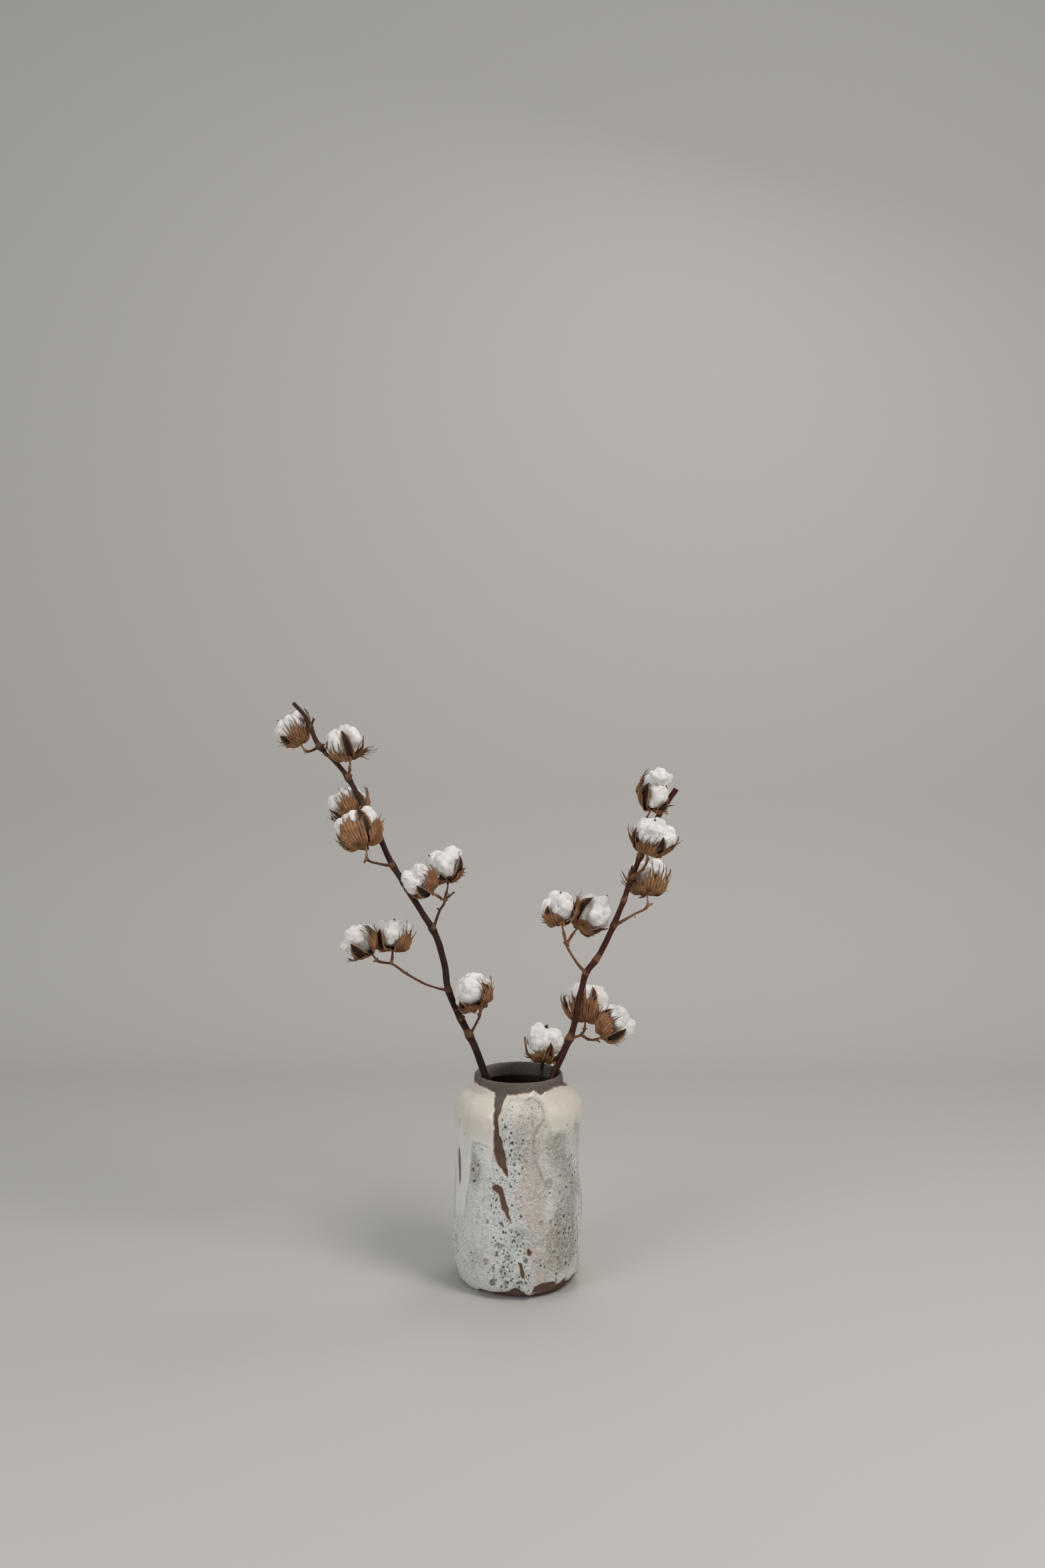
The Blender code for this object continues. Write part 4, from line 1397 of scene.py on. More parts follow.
# locks: (direction, rise in radii, size)
# valves: (direction, reach in degrees, half width in radii, trough depth, hook)
# bracts: (direction, reach in degrees, half spread in degrees, flare, tooth length in degrees)
LOOKS = {
    1: Look(
        [(-60, 0.1, 1.0), (20, 0.15, 0.9), (110, 0.35, 0.8), (190, 0.1, 1.0), (-110, 0.25, 0.9)],
        [(-48, 78, 0.42, 0.24, 0.1), (78, 126, 0.28, 0.1, 0.1), (-120, 96, 0.3, 0.1, 0.2),
         back_valve(165)],
        [(14, 66, 46, 0.08, 56), (92, 86, 40, 0.06, 46), (-82, 50, 52, 0.1, 22)]),
    2: Look(
        [(-42, 0.0, 1.05), (48, 0.28, 1.0), (150, 0.0, 1.0), (-140, 0.1, 0.95)],
        [(12, 144, 0.29, 0.14, 0.04), (100, 95, 0.3, 0.1, 0.1), (-95, 92, 0.3, 0.12, 0.12),
         (180, 95, 0.3, 0.1, 0.1)],
        [(-40, 64, 60, 0.08, 50), (62, 66, 19, 0.6, 34), (170, 62, 60, 0.1, 26)]),
    3: Look(
        [(-80, 0.2, 1.0), (20, 0.25, 0.9), (120, 0.1, 0.9), (200, 0.1, 1.0)],
        [(-46, 98, 0.24, 0.12, 0.25), (50, 128, 0.3, 0.16, 0.06), (160, 95, 0.3, 0.1, 0.1),
         (-130, 90, 0.26, 0.1, 0.3)],
        [(4, 96, 38, 0.04, 36), (100, 80, 46, 0.06, 34), (-100, 66, 44, 0.1, 34)]),
    4: Look(
        [(-58, 0.25, 1.0), (64, 0.2, 1.0), (0, 0.35, 0.85), (140, 0.1, 1.0), (-140, 0.1, 1.0)],
        [(-70, 98, 0.3, 0.2, 0.1), (29, 140, 0.31, 0.16, 0.04), (110, 92, 0.3, 0.1, 0.15),
         back_valve(180)],
        [(-16, 104, 40, 0.04, 20), (74, 90, 44, 0.06, 12), (-130, 72, 50, 0.08, 26)]),
    5: Look(
        [(-50, 0.3, 1.0), (50, 0.25, 0.95), (140, 0.1, 0.9), (-130, 0.1, 1.0)],
        [(-10, 108, 0.34, 0.18, 0.06), (-96, 100, 0.26, 0.12, 0.15), (95, 96, 0.3, 0.1, 0.1),
         back_valve(180)],
        [(46, 102, 42, 0.06, 22), (-60, 62, 46, 0.06, 20), (165, 66, 58, 0.1, 24)]),
    6: Look(
        [(-2, -0.05, 1.12), (-80, 0.3, 1.0), (76, 0.45, 1.0), (180, 0.2, 1.0)],
        [(-22, 50, 0.26, 0.1, 0.0), (68, 112, 0.4, 0.03, 0.02), (-112, 98, 0.26, 0.12, 0.2),
         (140, 94, 0.3, 0.1, 0.1)],
        [(-30, 30, 50, 0.02, 8), (86, 70, 34, 0.03, 8), (200, 50, 56, 0.08, 16)]),
    7: Look(
        [(20, 0.35, 1.0), (-68, 0.15, 1.0), (110, 0.1, 0.95), (190, 0.2, 1.0)],
        [(-20, 112, 0.42, 0.18, 0.06), (76, 112, 0.26, 0.1, 0.1), (-120, 88, 0.28, 0.12, 0.2),
         back_valve(150)],
        [(54, 62, 34, 0.05, 76), (-52, 50, 60, 0.16, 34), (170, 64, 58, 0.1, 24)]),
    8: Look(
        [(4, 0.1, 1.1), (100, 0.25, 0.95), (-110, 0.2, 0.95), (185, 0.2, 1.0)],
        [(-44, 106, 0.38, 0.26, 0.08), (68, 104, 0.28, 0.1, 0.14), back_valve(140),
         (-140, 92, 0.3, 0.1, 0.15)],
        [(52, 80, 40, 0.1, 44), (-24, 42, 60, 0.05, 14), (-150, 62, 58, 0.1, 24)]),
    9: Look(
        [(2, 0.15, 1.12), (92, 0.15, 1.0), (-92, -0.05, 0.95), (180, 0.1, 1.0)],
        [(-44, 96, 0.38, 0.24, 0.04), (56, 112, 0.26, 0.08, 0.0), back_valve(140),
         (-130, 88, 0.28, 0.1, 0.1)],
        [(48, 84, 36, 0.06, 40), (-30, 74, 66, 0.1, 16), (160, 62, 58, 0.08, 24)]),
    10: Look(
        [(6, -0.1, 0.9), (-30, 0.95, 0.75), (146, 0.7, 0.66), (-100, 0.3, 1.0), (190, 0.2, 0.8)],
        [(-46, 116, 0.42, 0.2, 0.06), (36, 82, 0.34, 0.2, 0.04), (140, 84, 0.3, 0.1, 0.0),
         (-140, 90, 0.3, 0.1, 0.1)],
        [(-82, 104, 36, 0.06, 36), (24, 40, 56, 0.06, 14), (150, 54, 58, 0.1, 24)]),
    11: Look(
        [(-30, 0.2, 1.12), (66, 0.1, 1.05), (170, 0.1, 1.0), (-130, 0.1, 0.9)],
        [(-68, 100, 0.3, 0.16, 0.08), (26, 112, 0.3, 0.16, 0.02), (112, 92, 0.28, 0.1, 0.2),
         back_valve(-150)],
        [(-12, 76, 42, 0.04, 34), (76, 90, 44, 0.1, 22), (-96, 62, 48, 0.24, 34)]),
    12: Look(
        [(-96, 0.3, 1.0), (60, 0.25, 1.05), (-10, 0.1, 0.95), (170, 0.1, 1.0)],
        [(86, 108, 0.26, 0.16, 0.3), (-46, 116, 0.26, 0.14, 0.1), (20, 84, 0.3, 0.1, 0.1),
         back_valve(180)],
        [(26, 72, 54, 0.08, 44), (-54, 64, 46, 0.12, 42), (150, 62, 58, 0.1, 24)]),
    13: Look(
        [(26, 0.15, 1.12), (-84, 0.0, 0.9), (110, 0.2, 0.9), (185, 0.2, 1.0)],
        [(-36, 120, 0.32, 0.2, 0.04), (66, 108, 0.28, 0.14, 0.1), back_valve(140),
         (-140, 88, 0.28, 0.1, 0.1)],
        [(-36, 88, 50, 0.03, 14), (74, 92, 34, 0.08, 34), (-140, 60, 54, 0.1, 22)]),
    14: Look(
        [(30, 0.2, 1.15), (-20, 0.5, 0.8), (104, 0.1, 1.0), (-120, 0.2, 0.95), (190, 0.1, 0.95)],
        [(-46, 124, 0.36, 0.24, 0.1), (62, 92, 0.32, 0.14, 0.26), (150, 88, 0.3, 0.1, 0.1),
         (-130, 96, 0.3, 0.1, 0.1)],
        [(-84, 82, 42, 0.08, 24), (10, 54, 56, 0.12, 12), (140, 56, 56, 0.1, 22)]),
    15: Look(
        [(-66, 0.25, 1.0), (62, 0.15, 1.15), (4, 0.3, 0.85), (170, 0.1, 1.0)],
        [(16, 142, 0.17, 0.14, 0.0), (-80, 100, 0.32, 0.14, 0.16), back_valve(120),
         back_valve(-160)],
        [(-10, 100, 46, 0.03, 22), (74, 52, 50, 0.08, 20), (-100, 78, 38, 0.1, 42)]),
    16: Look(
        [(-14, 0.3, 1.0), (72, 0.05, 1.15), (180, 0.2, 1.0), (-100, 0.1, 0.9)],
        [(22, 104, 0.34, 0.22, 0.06), (-64, 112, 0.3, 0.04, 0.0), (120, 88, 0.3, 0.1, 0.1),
         back_valve(-150)],
        [(-40, 90, 46, 0.02, 30), (50, 44, 56, 0.06, 12), (170, 60, 56, 0.1, 22)]),
    17: Look(
        [(-40, 0.15, 1.1), (54, 0.15, 1.1), (160, 0.1, 1.0), (-130, 0.1, 0.95)],
        [(12, 100, 0.28, 0.22, 0.02), (-88, 104, 0.3, 0.12, 0.1), (105, 92, 0.28, 0.1, 0.1),
         (180, 96, 0.3, 0.1, 0.1)],
        [(-8, 66, 44, 0.05, 26), (-76, 44, 50, 0.08, 16), (100, 50, 60, 0.08, 20)]),
}


print("valves:", sum(len(look.valves) for look in LOOKS.values()))


# %% Directions round a boll
def boll_axes(boll):
    """The boll's own right, front and up directions, as rows."""
    up = boll_up(boll)
    front = unit(np.array([0.0, -1.0, 0.0]) + up * up[1])
    return np.stack([np.cross(up, front), front, up])


def round_boll(direction, height):
    """Unit directions in a boll's own axes, for degrees round it and up it."""
    turn, rise = np.radians(direction), np.radians(height)
    return np.stack([np.sin(rise) * np.sin(turn), np.sin(rise) * np.cos(turn), -np.cos(rise)], axis=-1)


# %% [markdown]
# Lint is a soft mass of fibres in plump locks. A plain bumpy ball would look
# like dough, so each lock is a cluster of balls melted into one skin, pressed
# in wherever a valve or bract lies over it, and covered with loose curled
# fibres by the scatter tree.

# %% Lint
BALL_POINTS, BALL_FACES = unit_ball(3)
LINT_GAP = 1.5             # how far the lint keeps below a sheet that lies on it
LINT_GAP_BELOW = 2.0       # how far above its seat the lint ends
LINT_VOXEL = 0.95
FIBRE_RINGS = 5
LUMPS = 10                 # soft lumps on each lock
LINT_POINTS = {}           # each boll's lint surface, in the boll's own axes


def lint_mesh(boll):
    """Locks of lint: a core, a plump ball for each lock, and soft lumps on it."""
    rng = np.random.default_rng(100 + boll.number)
    half = boll.width / 2
    parts = [(np.array([0, 0, -0.1 * half]), half * np.array([0.62, 0.62, 0.7]))]
    for direction, rise, size in LOOKS[boll.number].locks:
        outward = round_boll(direction, 90.0)
        middle = half * (0.42 * outward + (0, 0, rise))
        reach = half * size * np.array([0.53, 0.53, 0.60])
        parts.append((middle, reach))
        for _ in range(LUMPS):
            way = unit(rng.normal(size=3) + 0.9 * outward + (0, 0, 0.35))
            lump = half * size * rng.uniform(0.18, 0.34)
            sizes = np.full(3, lump) * rng.uniform(0.85, 1.15, 3)
            parts.append((middle + way * (reach - 0.55 * lump), sizes))
    mesh = merged("lint", [(BALL_POINTS * reach + middle, BALL_FACES) for middle, reach in parts])
    mesh = voxel_union("lint", mesh, LINT_VOXEL)
    soften(mesh, 6, 0.55)
    points = mesh_points(mesh)
    wide = np.percentile(np.abs(points[:, 0]), 99.5)
    points[:, :2] *= (half + 0.8) / wide
    top = points[:, 2].max()
    points[:, 2] = np.where(points[:, 2] > 0, points[:, 2] * boll.top / top, points[:, 2])
    low = -points[:, 2].min()
    length = seat_distance(boll) - LINT_GAP_BELOW
    points[:, 2] = np.where(points[:, 2] < 0, points[:, 2] * length / low, points[:, 2])
    move_points(mesh, points)
    normals = mesh_normals(mesh)
    there = points + 400.0 * boll.number
    fluff = 0.75 * hills(there, 6.5, 81) + 0.32 * hills(there, 2.8, 82, 2)
    points, covered = pressed(boll, points + normals * fluff[:, None])
    LINT_POINTS[boll.number] = points
    move_points(mesh, points @ boll_axes(boll) + boll.centre)
    set_number(mesh, "open", 1 - covered)
    return mesh


def pressed(boll, points):
    """Push lint in where a valve or a bract lies over it, so it swells between them."""
    look = LOOKS[boll.number]
    grids = [valve(boll, *row, seed=boll.number * 7 + k)[0] for k, row in enumerate(look.valves)]
    grids += [bract(boll, *row, seed=boll.number * 11 + k)[0] for k, row in enumerate(look.bracts)]
    over = np.vstack([grid.reshape(-1, 3) for grid in grids])
    over_reach = np.linalg.norm(over, axis=1)
    tree = kdtree.KDTree(len(over))
    for index, way in enumerate((over / over_reach[:, None]).tolist()):
        tree.insert(way, index)
    tree.balance()
    reach = np.linalg.norm(points, axis=1)
    covered = np.zeros(len(points))
    for index, way in enumerate((points / reach[:, None]).tolist()):
        near = tree.find_n(way, 4)
        limit = min(over_reach[item[1]] for item in near) - LINT_GAP
        share = 1 - min(max((near[0][2] - 0.06) / 0.15, 0), 1)
        if limit - 6 < reach[index]:
            covered[index] = 1 - min(max((near[0][2] - 0.04) / 0.08, 0), 1)
        if reach[index] > limit:
            points[index] *= 1 - share * (1 - limit / reach[index])
    return points, covered


# %% Loose fibres and the cotton's finish
def fibre_stamp(name, long, bend, thick):
    """One loose cotton fibre: a thin three-sided thread that curls over."""
    corners = [np.array([math.cos(a), math.sin(a), 0]) for a in (0, 2.094, 4.189)]
    rings = []
    for t in np.linspace(0, 1, FIBRE_RINGS):
        aside = bend * long * np.array([math.sin(2.6 * t), 0.5 * (1 - math.cos(4 * t)), 0])
        centre = aside + (0, 0, t * long)
        rings.extend(centre + thick * (1 - 0.6 * t) * corner for corner in corners)
    last = 3 * (FIBRE_RINGS - 1)
    walls = [tuple(q) for q in grid_quads(FIBRE_RINGS, 3, wrap=True)]
    return object_from(name, mesh_from(name, rings, walls + [(2, 1, 0), (last, last + 1, last + 2)]))


def cotton_material():
    """Raw lint: warm white, softly lit through, with faint dust and a downy bump."""
    material, tree, shader, place = new_material("cotton_lint")
    cloud = use_group(tree, BLOTCH, Vector=place, Scale=70.0).outputs["Mask"]
    colour = mix_colour(tree, cloud, rgb(219, 212, 206), rgb(231, 226, 221))
    dust = use_group(tree, SPECKLE, Vector=place, Scale=330.0, Amount=0.02, Radius=0.3)
    colour = stain(tree, colour, dust.outputs["Mask"], 0.5, rgb(150, 120, 90))
    dress(tree, shader, Base_Color=colour, Roughness=0.95, Specular_IOR_Level=0.15,
          Subsurface_Weight=0.35, Subsurface_Radius=(1.0, 0.9, 0.8), Subsurface_Scale=0.003,
          Sheen_Weight=0.35, Sheen_Roughness=0.6)
    down = noise(tree, place, 700.0, 4.0, 0.7, 0.8)
    wool = noise(tree, place, 260.0, 3.0, 0.6, 1.2)
    bumps(tree, shader, plus(tree, down, wool), 0.0008, 0.8)
    return material


# %% Thin dry sheets
def sheet(grid, thick):
    """A closed thin sheet from a grid of points, as (points, faces)."""
    rows, columns = grid.shape[:2]
    normal = np.cross(np.gradient(grid, axis=1), np.gradient(grid, axis=0))
    normal /= np.linalg.norm(normal, axis=2)[:, :, None] + 1e-9
    front = (grid + normal * thick / 2).reshape(-1, 3)
    back = (grid - normal * thick / 2).reshape(-1, 3)
    quads = grid_quads(rows, columns)
    count = rows * columns
    edge = ([(r, 0) for r in range(rows)] + [(rows - 1, c) for c in range(1, columns)]
            + [(r, columns - 1) for r in range(rows - 2, -1, -1)]
            + [(0, c) for c in range(columns - 2, 0, -1)])
    ring = np.array([r * columns + c for r, c in edge])
    following = np.roll(ring, -1)
    rim = np.stack([ring, following, following + count, ring + count], axis=1)
    return np.vstack([front, back]), np.vstack([quads, quads[:, ::-1] + count, rim])


def recalculated(mesh):
    """Turn every face outwards."""
    shape = bmesh.new()
    shape.from_mesh(mesh)
    bmesh.ops.recalc_face_normals(shape, faces=shape.faces)
    shape.to_mesh(mesh)
    shape.free()
    return mesh


# %% [markdown]
# A valve is one dried wall of the fruit: woody, dark outside, pale inside. It
# is a grid bent round the boll in degrees, then thickened into a closed sheet.
# The same sheet makes the ruffled cup at the stalk and the bits of leaf that
# cling to the lint.

# %% Valves of the burr
VALVE_ROWS, VALVE_COLUMNS = 26, 13
BURR_THICK = 0.75
BURR_COLOURS = {"outside": rgb(42, 24, 18), "inside": rgb(150, 112, 78), "margin": rgb(176, 138, 98),
                "tip": rgb(30, 17, 13), "base": rgb(88, 58, 38)}


def valve(boll, direction, reach, wide, trough, hook, seed):
    """A boat-shaped valve: its outside dark, its raised margins pale, its tip hooked."""
    half = boll.width / 2
    s = np.linspace(0, 1, VALVE_ROWS)[:, None]
    t = np.linspace(-1, 1, VALVE_COLUMNS)[None, :]
    height = 14 + (reach - 14) * s ** 0.92
    body = wide * half * np.sin(math.pi * np.clip(s * 0.93 + 0.07, 0, 1) ** 1.15) ** 0.75
    across = np.maximum(body * (1 - ease(0.80, 1.0, s) * 0.55), 0.35)
    base = seat_distance(boll)
    out = between(base, half * 0.99, ease(10, 60, height))
    boat = trough * np.abs(t) ** 2.2 * np.sin(math.pi * s ** 0.8)
    out = out + half * (boat + hook * ease(0.7, 1.0, s) ** 1.5)
    where = np.stack(np.broadcast_arrays(s * 9, t * 4, seed * 3.7), axis=2)
    waver = hills(where.reshape(-1, 3), 3, 91, 2)
    out = out + 0.5 * waver.reshape(out.shape) * ease(0.1, 0.5, s)
    side = direction + 5 * np.sin(2.2 * s + seed) * s
    around = side + np.degrees(t * across / (out * np.maximum(np.sin(np.radians(height)), 0.3)))
    grid = round_boll(around, height + 0 * t) * out[:, :, None]
    edge = np.clip(np.abs(t) ** 5 + 0 * s, 0, 1)
    tip = ease(0.86, 1.0, s) + 0 * t
    return grid, edge, tip, s + 0 * t


def burr_mesh(boll):
    """The burr of one boll: valves, calyx cup, and the bits that cling to its lint."""
    axes = boll_axes(boll)
    pieces, tones, grains = [], [], []
    colour = {key: np.array(value[:3]) for key, value in BURR_COLOURS.items()}
    for number, row in enumerate(LOOKS[boll.number].valves):
        grid, edge, tip, up = valve(boll, *row, seed=boll.number * 7 + number)
        points, faces = sheet(grid, BURR_THICK)
        edge, tip, up = (values.ravel()[:, None] for values in (edge, tip, up))
        cloud = hills(points[:len(edge)] + 90.0 * boll.number, 5, 92, 2)[:, None]
        outside = colour["outside"] * (1 + 0.25 * cloud)
        outside = between(outside, colour["base"], 0.5 * ease(0.35, 0.0, up))
        outside = between(outside, colour["margin"], np.clip(edge * (1 - tip) * 1.3, 0, 1))
        inside = between(colour["inside"], colour["tip"], tip)
        middle = grid.mean(axis=(0, 1))
        front_faces_out = np.dot(np.cross(grid[8, 7] - grid[8, 6], grid[9, 6] - grid[8, 6]), middle) > 0
        tones.append(np.vstack([outside, inside] if front_faces_out else [inside, outside]))
        where = np.stack([edge[:, 0] * 4, 0 * edge[:, 0], up[:, 0] * boll.width / 2], axis=1)
        grains.append(np.vstack([where, where + (0, 3, 0)]))
        pieces.append((points, faces))
    small = [(piece, colour["base"]) for piece in (calyx_cup(boll), *crumbs(boll))]
    small += [(piece, colour["tip"] * 1.6) for piece in chaff(boll)]
    for (points, faces), tint in small:
        pieces.append((points, faces))
        tones.append(np.repeat(tint[None], len(points), axis=0))
        grains.append(points)
    mesh = merged("burr", [(points @ axes + boll.centre, faces) for points, faces in pieces])
    set_colour(mesh, "tone", np.vstack(tones))
    set_vector(mesh, "grain", np.vstack(grains) * MM)
    return recalculated(mesh)


# %% Leaf crumbs
CRUMBS = {  # for some bolls: direction and height in degrees, size in mm
    1: [(-40, 128, 1.8)], 6: [(-60, 120, 2.0)], 8: [(10, 140, 2.0)],
    10: [(50, 140, 2.2), (70, 130, 1.8)], 11: [(-40, 150, 2.4)], 13: [(30, 150, 2.0)],
    14: [(-20, 158, 2.2)], 17: [(-8, 166, 4.2), (4, 172, 3.0)],
}


def scale_leaf(seed, long, wide):
    """A small dry pointed leaf that curls back, standing on the origin along z."""
    rng = np.random.default_rng(seed)
    s, t = np.linspace(0, 1, 9)[:, None], np.linspace(-1, 1, 5)[None, :]
    bend = rng.uniform(0.5, 1.7)
    across = wide * np.sin(math.pi * (0.18 + 0.82 * s)) ** 0.8 * t + 0.06 * t
    curl = long * 0.32 * bend * s * s - 0.35 * across ** 2 / max(wide, 0.1)
    rise = long * (s - 0.18 * bend * s ** 3) + 0 * t
    twist = rng.uniform(-1, 1) * s
    grid = np.stack([across * np.cos(twist) + curl * np.sin(twist), curl * np.cos(twist), rise], axis=2)
    grid = grid + 0.14 * rng.normal(size=grid.shape) * s[:, :, None]
    return sheet(grid, 0.3)


def placed(points, at, heading, spin):
    """Turn points so that their z axis follows a heading, spin them, and move them."""
    up = unit(heading)
    side = unit(np.cross(up, (math.sin(spin), math.cos(spin), 0.31)))
    return points @ np.stack([side, np.cross(up, side), up]) + at


def lint_reach(boll, outward):
    """How far the lint goes from the middle of its boll in one direction."""
    points = LINT_POINTS[boll.number]
    reach = np.linalg.norm(points, axis=1)
    return reach[np.argmax(points @ outward / reach)]


def crumbs(boll):
    """Bits of broken leaf caught in the lint of some bolls."""
    for k, (direction, height, size) in enumerate(CRUMBS.get(boll.number, [])):
        outward = round_boll(direction, height)
        points, faces = scale_leaf(boll.number * 5 + k, size * 1.6, size * 0.6)
        root = outward * (lint_reach(boll, outward) - 0.8)
        yield placed(points, root, outward + (0.4, 0, 0.2), k * 2.0), faces


# %% The calyx cup
CUP_ROWS, CUP_COLUMNS = 10, 40


def calyx_cup(boll):
    """The small ruffled cup where boll and stalk meet, as a closed thick sheet."""
    base = seat_distance(boll)
    rows, columns = CUP_ROWS, CUP_COLUMNS
    s = np.linspace(0, 1, rows)[:, None]
    turn = np.linspace(0, 360, columns + 1)[None, :]
    ruffle = np.sin(np.radians(turn * 5) + boll.number) * s
    height = 5 + 27 * s + 3 * ruffle
    out = base - 0.8 * s + 0.8 * ruffle - 1.0 * np.sin(math.pi * s)
    grid = round_boll(turn + 0 * s, height) * out[:, :, None]
    points, faces = sheet(grid[:, :-1], 0.7)
    gap = []
    for layer, flip in ((0, False), (rows * columns, True)):
        for r in range(rows - 1):
            quad = [layer + r * columns + columns - 1, layer + r * columns,
                    layer + (r + 1) * columns, layer + (r + 1) * columns + columns - 1]
            gap.append(quad[::-1] if flip else quad)
    side = rows * columns
    kept = [f for f in faces.tolist() if not seam_wall(f, columns, side)]
    kept.append([0, columns - 1, columns - 1 + side, side])
    top = (rows - 1) * columns
    kept.append([top + columns - 1, top, top + side, top + columns - 1 + side])
    return points, kept + gap


def seam_wall(face, columns, side):
    """True for the rim faces that would close a ring-shaped sheet at its seam."""
    front = [i for i in face if i < side]
    if len(front) != 2:
        return False
    a, b = (i % columns for i in front)
    return a == b and a in (0, columns - 1)


# %% Chaff, and the burr's finish
def chaff(boll):
    """A few dark hairs that cling to the lint."""
    rng = np.random.default_rng(500 + boll.number)
    for _ in range(4 if boll.number != 11 else 8):
        start = round_boll(rng.uniform(-90, 90), rng.uniform(95, 150))
        heading = unit(np.cross(start, rng.normal(size=3)))
        long, bend = rng.uniform(2.0, 5.5), rng.uniform(-1, 1)
        t = np.linspace(-0.5, 0.5, 7)[:, None]
        curl = np.cross(start, heading)
        line = start * (lint_reach(boll, start) + 0.7) + heading * t * long
        line = line + curl * bend * (t * t) * long - start * 6.0 * t * t
        yield tube(np.hstack([line, np.full((7, 1), 0.22) - 0.2 * np.abs(t)]), 5)


def burr_material():
    """Dry valve: smooth and dark outside with a dull shine, fibrous and pale inside."""
    material, tree, shader, place = new_material("dry_burr")
    tone = attribute(tree, "tone").outputs["Color"]
    grain = attribute(tree, "grain").outputs["Vector"]
    fibre = use_group(tree, GRAIN, Vector=grain, Scale=900.0, Stretch=0.2)
    cloud = use_group(tree, BLOTCH, Vector=place, Scale=240.0).outputs["Mask"]
    colour = stain(tree, tone, fibre.outputs["Mask"], 0.22, rgb(86, 56, 40))
    colour = stain(tree, colour, cloud, 0.25, rgb(36, 22, 18))
    rough = remap(tree, cloud, 0.0, 1.0, 0.42, 0.66)
    dress(tree, shader, Base_Color=colour, Roughness=rough, Specular_IOR_Level=0.18)
    bumps(tree, shader, fibre.outputs["Height"], 0.0005, 0.6)
    return material


# %% [markdown]
# Bracts are the three leaves that wrapped the bud. Dry, they are thin ribbed
# paper whose rim runs out into long curled teeth. Each is one grid: its upper
# rows narrow towards the middle of every tooth, so cup and teeth are one skin.

# %% Bracts
TEETH = 9
TOOTH_COLUMNS = 6
BODY_ROWS, TOOTH_ROWS = 11, 6
BRACT_THICK = 0.3


def bract(boll, direction, reach, spread, flare, tooth, seed):
    """A papery bract: a ribbed cup wall whose rim runs out into long curled teeth."""
    rng = np.random.default_rng(seed)
    half = boll.width / 2
    columns = TEETH * TOOTH_COLUMNS + 1
    t = np.linspace(-1, 1, columns)
    cell = np.clip(((t + 1) / 2 * TEETH).astype(int), 0, TEETH - 1)
    middle = (cell + 0.5) / TEETH * 2 - 1
    local = (t - middle) * TEETH
    lengths = tooth * rng.uniform(0.65, 1.15, TEETH)
    lengths = lengths * (0.62 + 0.38 * np.cos(np.linspace(-1.3, 1.3, TEETH)))
    bends = rng.uniform(-9, 9, TEETH)
    lifts = rng.uniform(-0.05, 0.34, TEETH)
    rim = reach * (0.66 + 0.34 * np.cos(t * 1.45)) * (1 + 0.05 * rng.normal(size=TEETH)[cell])
    extra = lengths[cell] * np.clip(1 - np.abs(local), 0, 1) ** 1.25
    rows = np.linspace(0, 1, BODY_ROWS + TOOTH_ROWS)[:, None] ** 0.92
    height = 4 + (rim + extra - 4) * rows
    past = np.clip((height - rim) / np.maximum(lengths[cell], 1e-6), 0, 1)
    narrow = middle + (t - middle) * (1 - 0.88 * past)
    opening = 0.42 + 0.58 * ease(6, 46, height)
    swing = ease(0.4, 0.6, flare) * ease(26, 62, height)
    side = spread * narrow * (1 + 0.12 * (1 - opening)) + bends[cell] * past ** 1.7
    around = direction + side * np.cos(1.25 * swing)
    over = np.maximum(height - 58, 0) * swing
    height = height - 0.7 * over - side * np.sin(1.25 * swing)
    base = seat_distance(boll) + 0.4
    out = between(base, half * 1.06, ease(14, 52, height))
    lobes = 0.17 * half * np.abs(t) ** 1.5 * np.sin(np.clip(height / 58, 0, 1) * math.pi)
    fan = flare * half * ease(28, 104, height) * (1 - 0.3 * t * t)
    out = out + lobes + fan + half * (lifts[cell] * past ** 1.4 + 0.6 * np.radians(over))
    spots = round_boll(around, height) * out[:, :, None]
    flat = spots.reshape(-1, 3) + 57.0 * seed
    crumple = 1.5 * hills(flat, 9, 93) + 1.0 * hills(flat, 3.8, 94)
    rib = 0.6 * np.cos(math.pi * local) * ease(8, 26, height) * (1 - past)
    out = out + (crumple.reshape(out.shape) + rib) * ease(6, 30, height)
    grid = round_boll(around, height) * out[:, :, None]
    vein = np.exp(-(local / 0.16) ** 2) * (1 - 0.5 * past)
    # painted shade: the sunk grooves between the ribs, to be darkened in colour
    shaded_groove = np.clip(np.abs(local) * 1.6 - 0.6, 0, 1) * ease(8, 24, height) * (1 - past)
    return grid, vein, shaded_groove, past, np.broadcast_to(t, past.shape), rows + 0 * past


# %% The bracts' colours and finish
BRACT_COLOURS = {"paper": rgb(121, 74, 43), "light": rgb(184, 138, 96), "dark": rgb(62, 33, 20),
                 "tooth": rgb(60, 32, 22), "inside": rgb(150, 112, 82)}


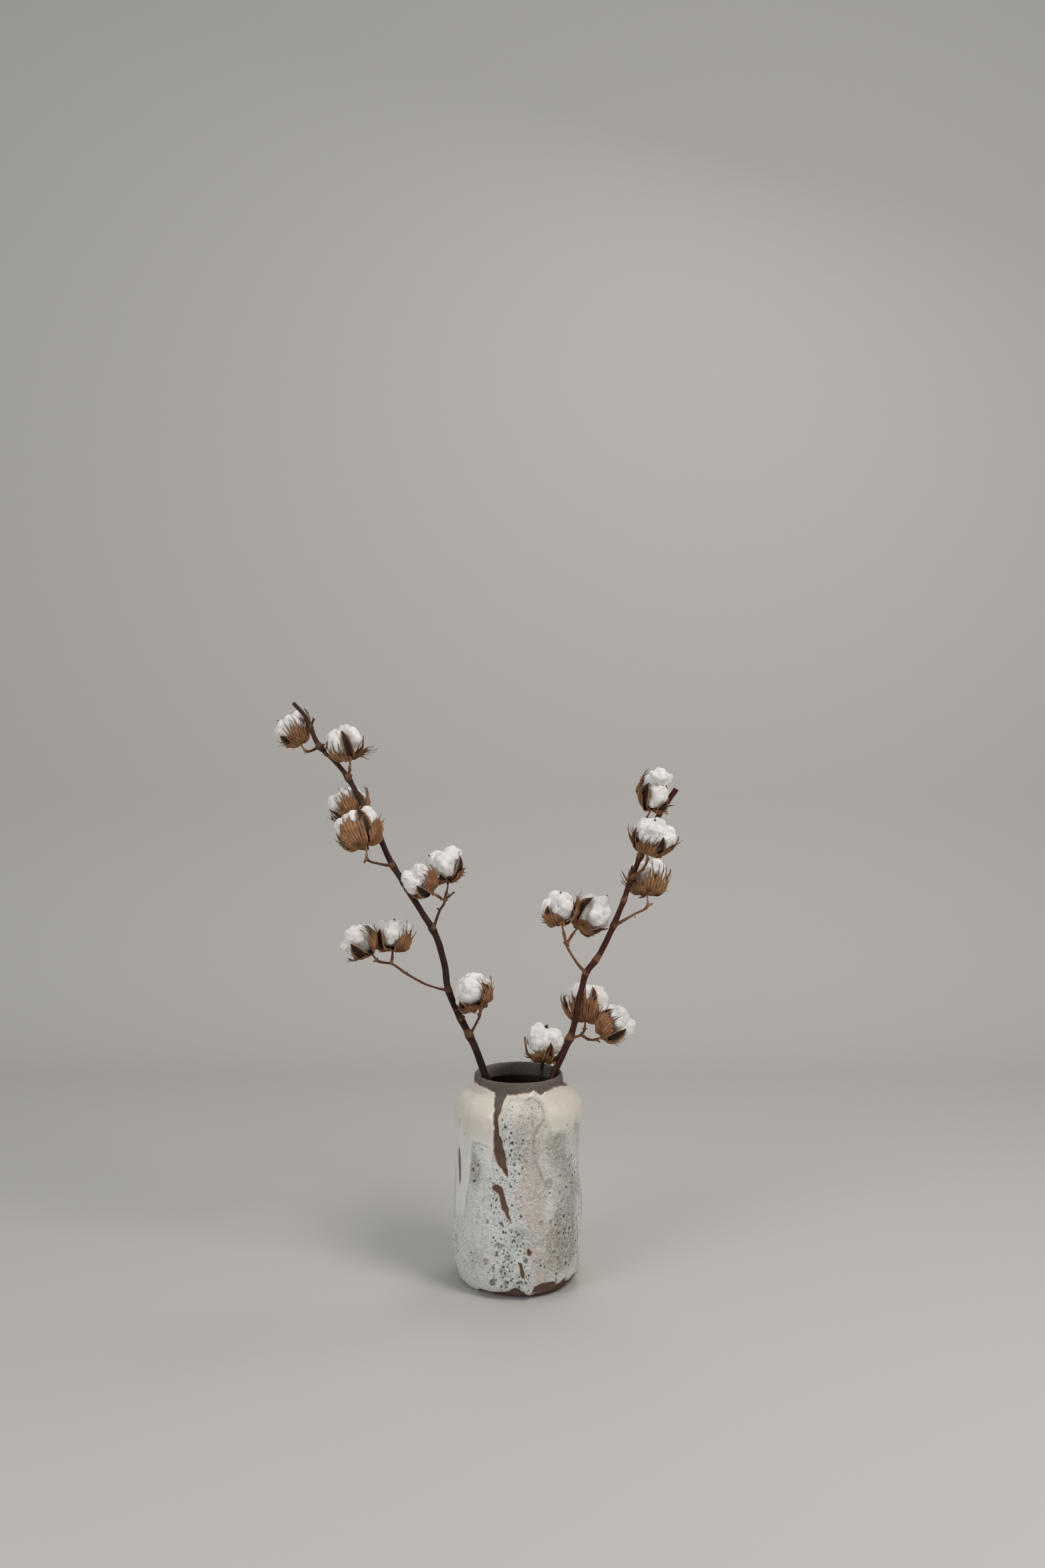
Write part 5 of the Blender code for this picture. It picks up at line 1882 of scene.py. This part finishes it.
def bract_mesh(boll):
    """The three bracts of one boll, paler or darker in clouds, with worn dark teeth and painted shade in
    the grooves between their ribs.
    """
    axes = boll_axes(boll)
    colour = {key: np.array(value[:3]) for key, value in BRACT_COLOURS.items()}
    pieces, tones, grains = [], [], []
    for number, row in enumerate(LOOKS[boll.number].bracts):
        grid, vein, groove_shade, past, t, s = bract(boll, *row, seed=boll.number * 11 + number)
        points, faces = sheet(grid, BRACT_THICK)
        cloud = hills(points[:past.size] + 70.0 * boll.number, 7, 95, 2)[:, None]
        vein, past, across, along_it = (values.ravel()[:, None] for values in (vein, past, t, s))
        pale = 0.55 * ((boll.number * 7 + number * 3) % 5) / 4
        tone = between(colour["paper"], colour["light"], np.clip(pale + 0.5 * cloud, 0, 1))
        tone = between(tone, colour["dark"], 0.7 * np.clip(-cloud, 0, 1))
        # painted shade darkens the grooves between the ribs
        tone = between(tone, colour["dark"], 0.5 * groove_shade.ravel()[:, None])
        tone = between(tone, colour["light"], 0.3 * vein)
        tone = between(tone, colour["tooth"], 0.85 * ease(0.15, 0.9, past))
        tones.append(np.vstack([tone, between(tone, colour["inside"], 0.25)]))
        where = np.hstack([across * 14, 0 * across, along_it * 26])
        grains.append(np.vstack([where, where + (0, 5, 0)]))
        pieces.append((points @ axes + boll.centre, faces))
    mesh = merged("bracts", pieces)
    set_colour(mesh, "tone", np.vstack(tones))
    set_vector(mesh, "grain", np.vstack(grains) * MM)
    return recalculated(mesh)


def bract_material():
    """Papery leaf: stored tones, fine veins along it, freckles and a dry bump."""
    material, tree, shader, place = new_material("dry_bract")
    tone = attribute(tree, "tone").outputs["Color"]
    grain = attribute(tree, "grain").outputs["Vector"]
    fibre = use_group(tree, GRAIN, Vector=grain, Scale=1100.0, Stretch=0.08)
    freckle = use_group(tree, SPECKLE, Vector=place, Scale=900.0, Amount=0.16, Radius=0.4)
    cloud = use_group(tree, BLOTCH, Vector=place, Scale=190.0).outputs["Mask"]
    colour = stain(tree, tone, fibre.outputs["Mask"], 0.4, rgb(94, 58, 37))
    colour = stain(tree, colour, cloud, 0.13, rgb(188, 146, 104))
    colour = stain(tree, colour, freckle.outputs["Mask"], 0.5, rgb(70, 44, 32))
    dress(tree, shader, Base_Color=colour, Roughness=0.78, Specular_IOR_Level=0.2)
    net = node(tree, "ShaderNodeTexVoronoi", {"feature": "DISTANCE_TO_EDGE"},
               Vector=place, Scale=620.0).outputs[0]
    relief = plus(tree, fibre.outputs["Height"], times(tree, net, 1.5))
    bumps(tree, shader, relief, 0.0005, 0.7)
    return material


# %% All seventeen bolls
COTTON, BURR, BRACT = cotton_material(), burr_material(), bract_material()
FIBRES_PER_SQUARE_METRE = 190000.0


def twig_scales(stem, slot):
    """The small dry scale leaves that stay on at each node of a stem."""
    rng = np.random.default_rng(len(stem))
    pieces = []
    for boll in BOLLS:
        if boll.stem != stem:
            continue
        for number, node_place in enumerate(boll.twig):
            for _ in range(2 if number == 0 else 3):
                heading = unit(rng.normal(size=3) + (0, -0.4, 0.7))
                radius = 3.4 if number == 0 else 1.2
                seed = int(rng.integers(1000))
                points, faces = scale_leaf(seed, rng.uniform(2.4, 5.0), rng.uniform(0.6, 1.2))
                at = np.array(node_place) + heading * (1, 1, 0.2) * radius
                pieces.append((placed(points, at, heading, rng.uniform(0, 6)), faces))
    mesh = merged("scales", pieces)
    tones = []
    for points, _ in pieces:
        colour = np.array(BRACT_COLOURS[rng.choice(["paper", "dark", "light"])][:3])
        tones.append(np.repeat(colour[None], len(points), axis=0))
    set_colour(mesh, "tone", np.vstack(tones))
    set_vector(mesh, "grain", mesh_points(mesh) * MM)
    return keep_piece(f"{stem}_scales", recalculated(mesh), BRACT, slot, stem)


print("scale leaves:", [len(twig_scales(*pair).data.polygons) for pair in
                        (("left_stem", "dark_bark"), ("right_stem", "red_bark"))])
short_fibre = fibre_stamp("short_fibre", 4.2, 0.32, 0.085)
for boll in BOLLS:
    label = f"boll_{boll.number:02d}"
    lint = scattered(f"{label}_lint", lint_mesh(boll), Stamp=short_fibre, Density=FIBRES_PER_SQUARE_METRE,
                     Smallest=0.5, Largest=1.5, Lean=1.25, Seed=boll.number, Finish=COTTON)
    piece = keep_piece(f"{label}_lint", lint, None, "cotton_lint", f"{label}_cotton")
    keep_piece(f"{label}_burr", burr_mesh(boll), BURR, "dry_husk", f"{label}_husk")
    keep_piece(f"{label}_bracts", bract_mesh(boll), BRACT, "dry_husk", f"{label}_husk")
    if boll.number == 1:
        print("first boll's lint:", len(piece.data.polygons), "faces")
bpy.data.objects.remove(short_fibre)
print("bolls made:", len(BOLLS))
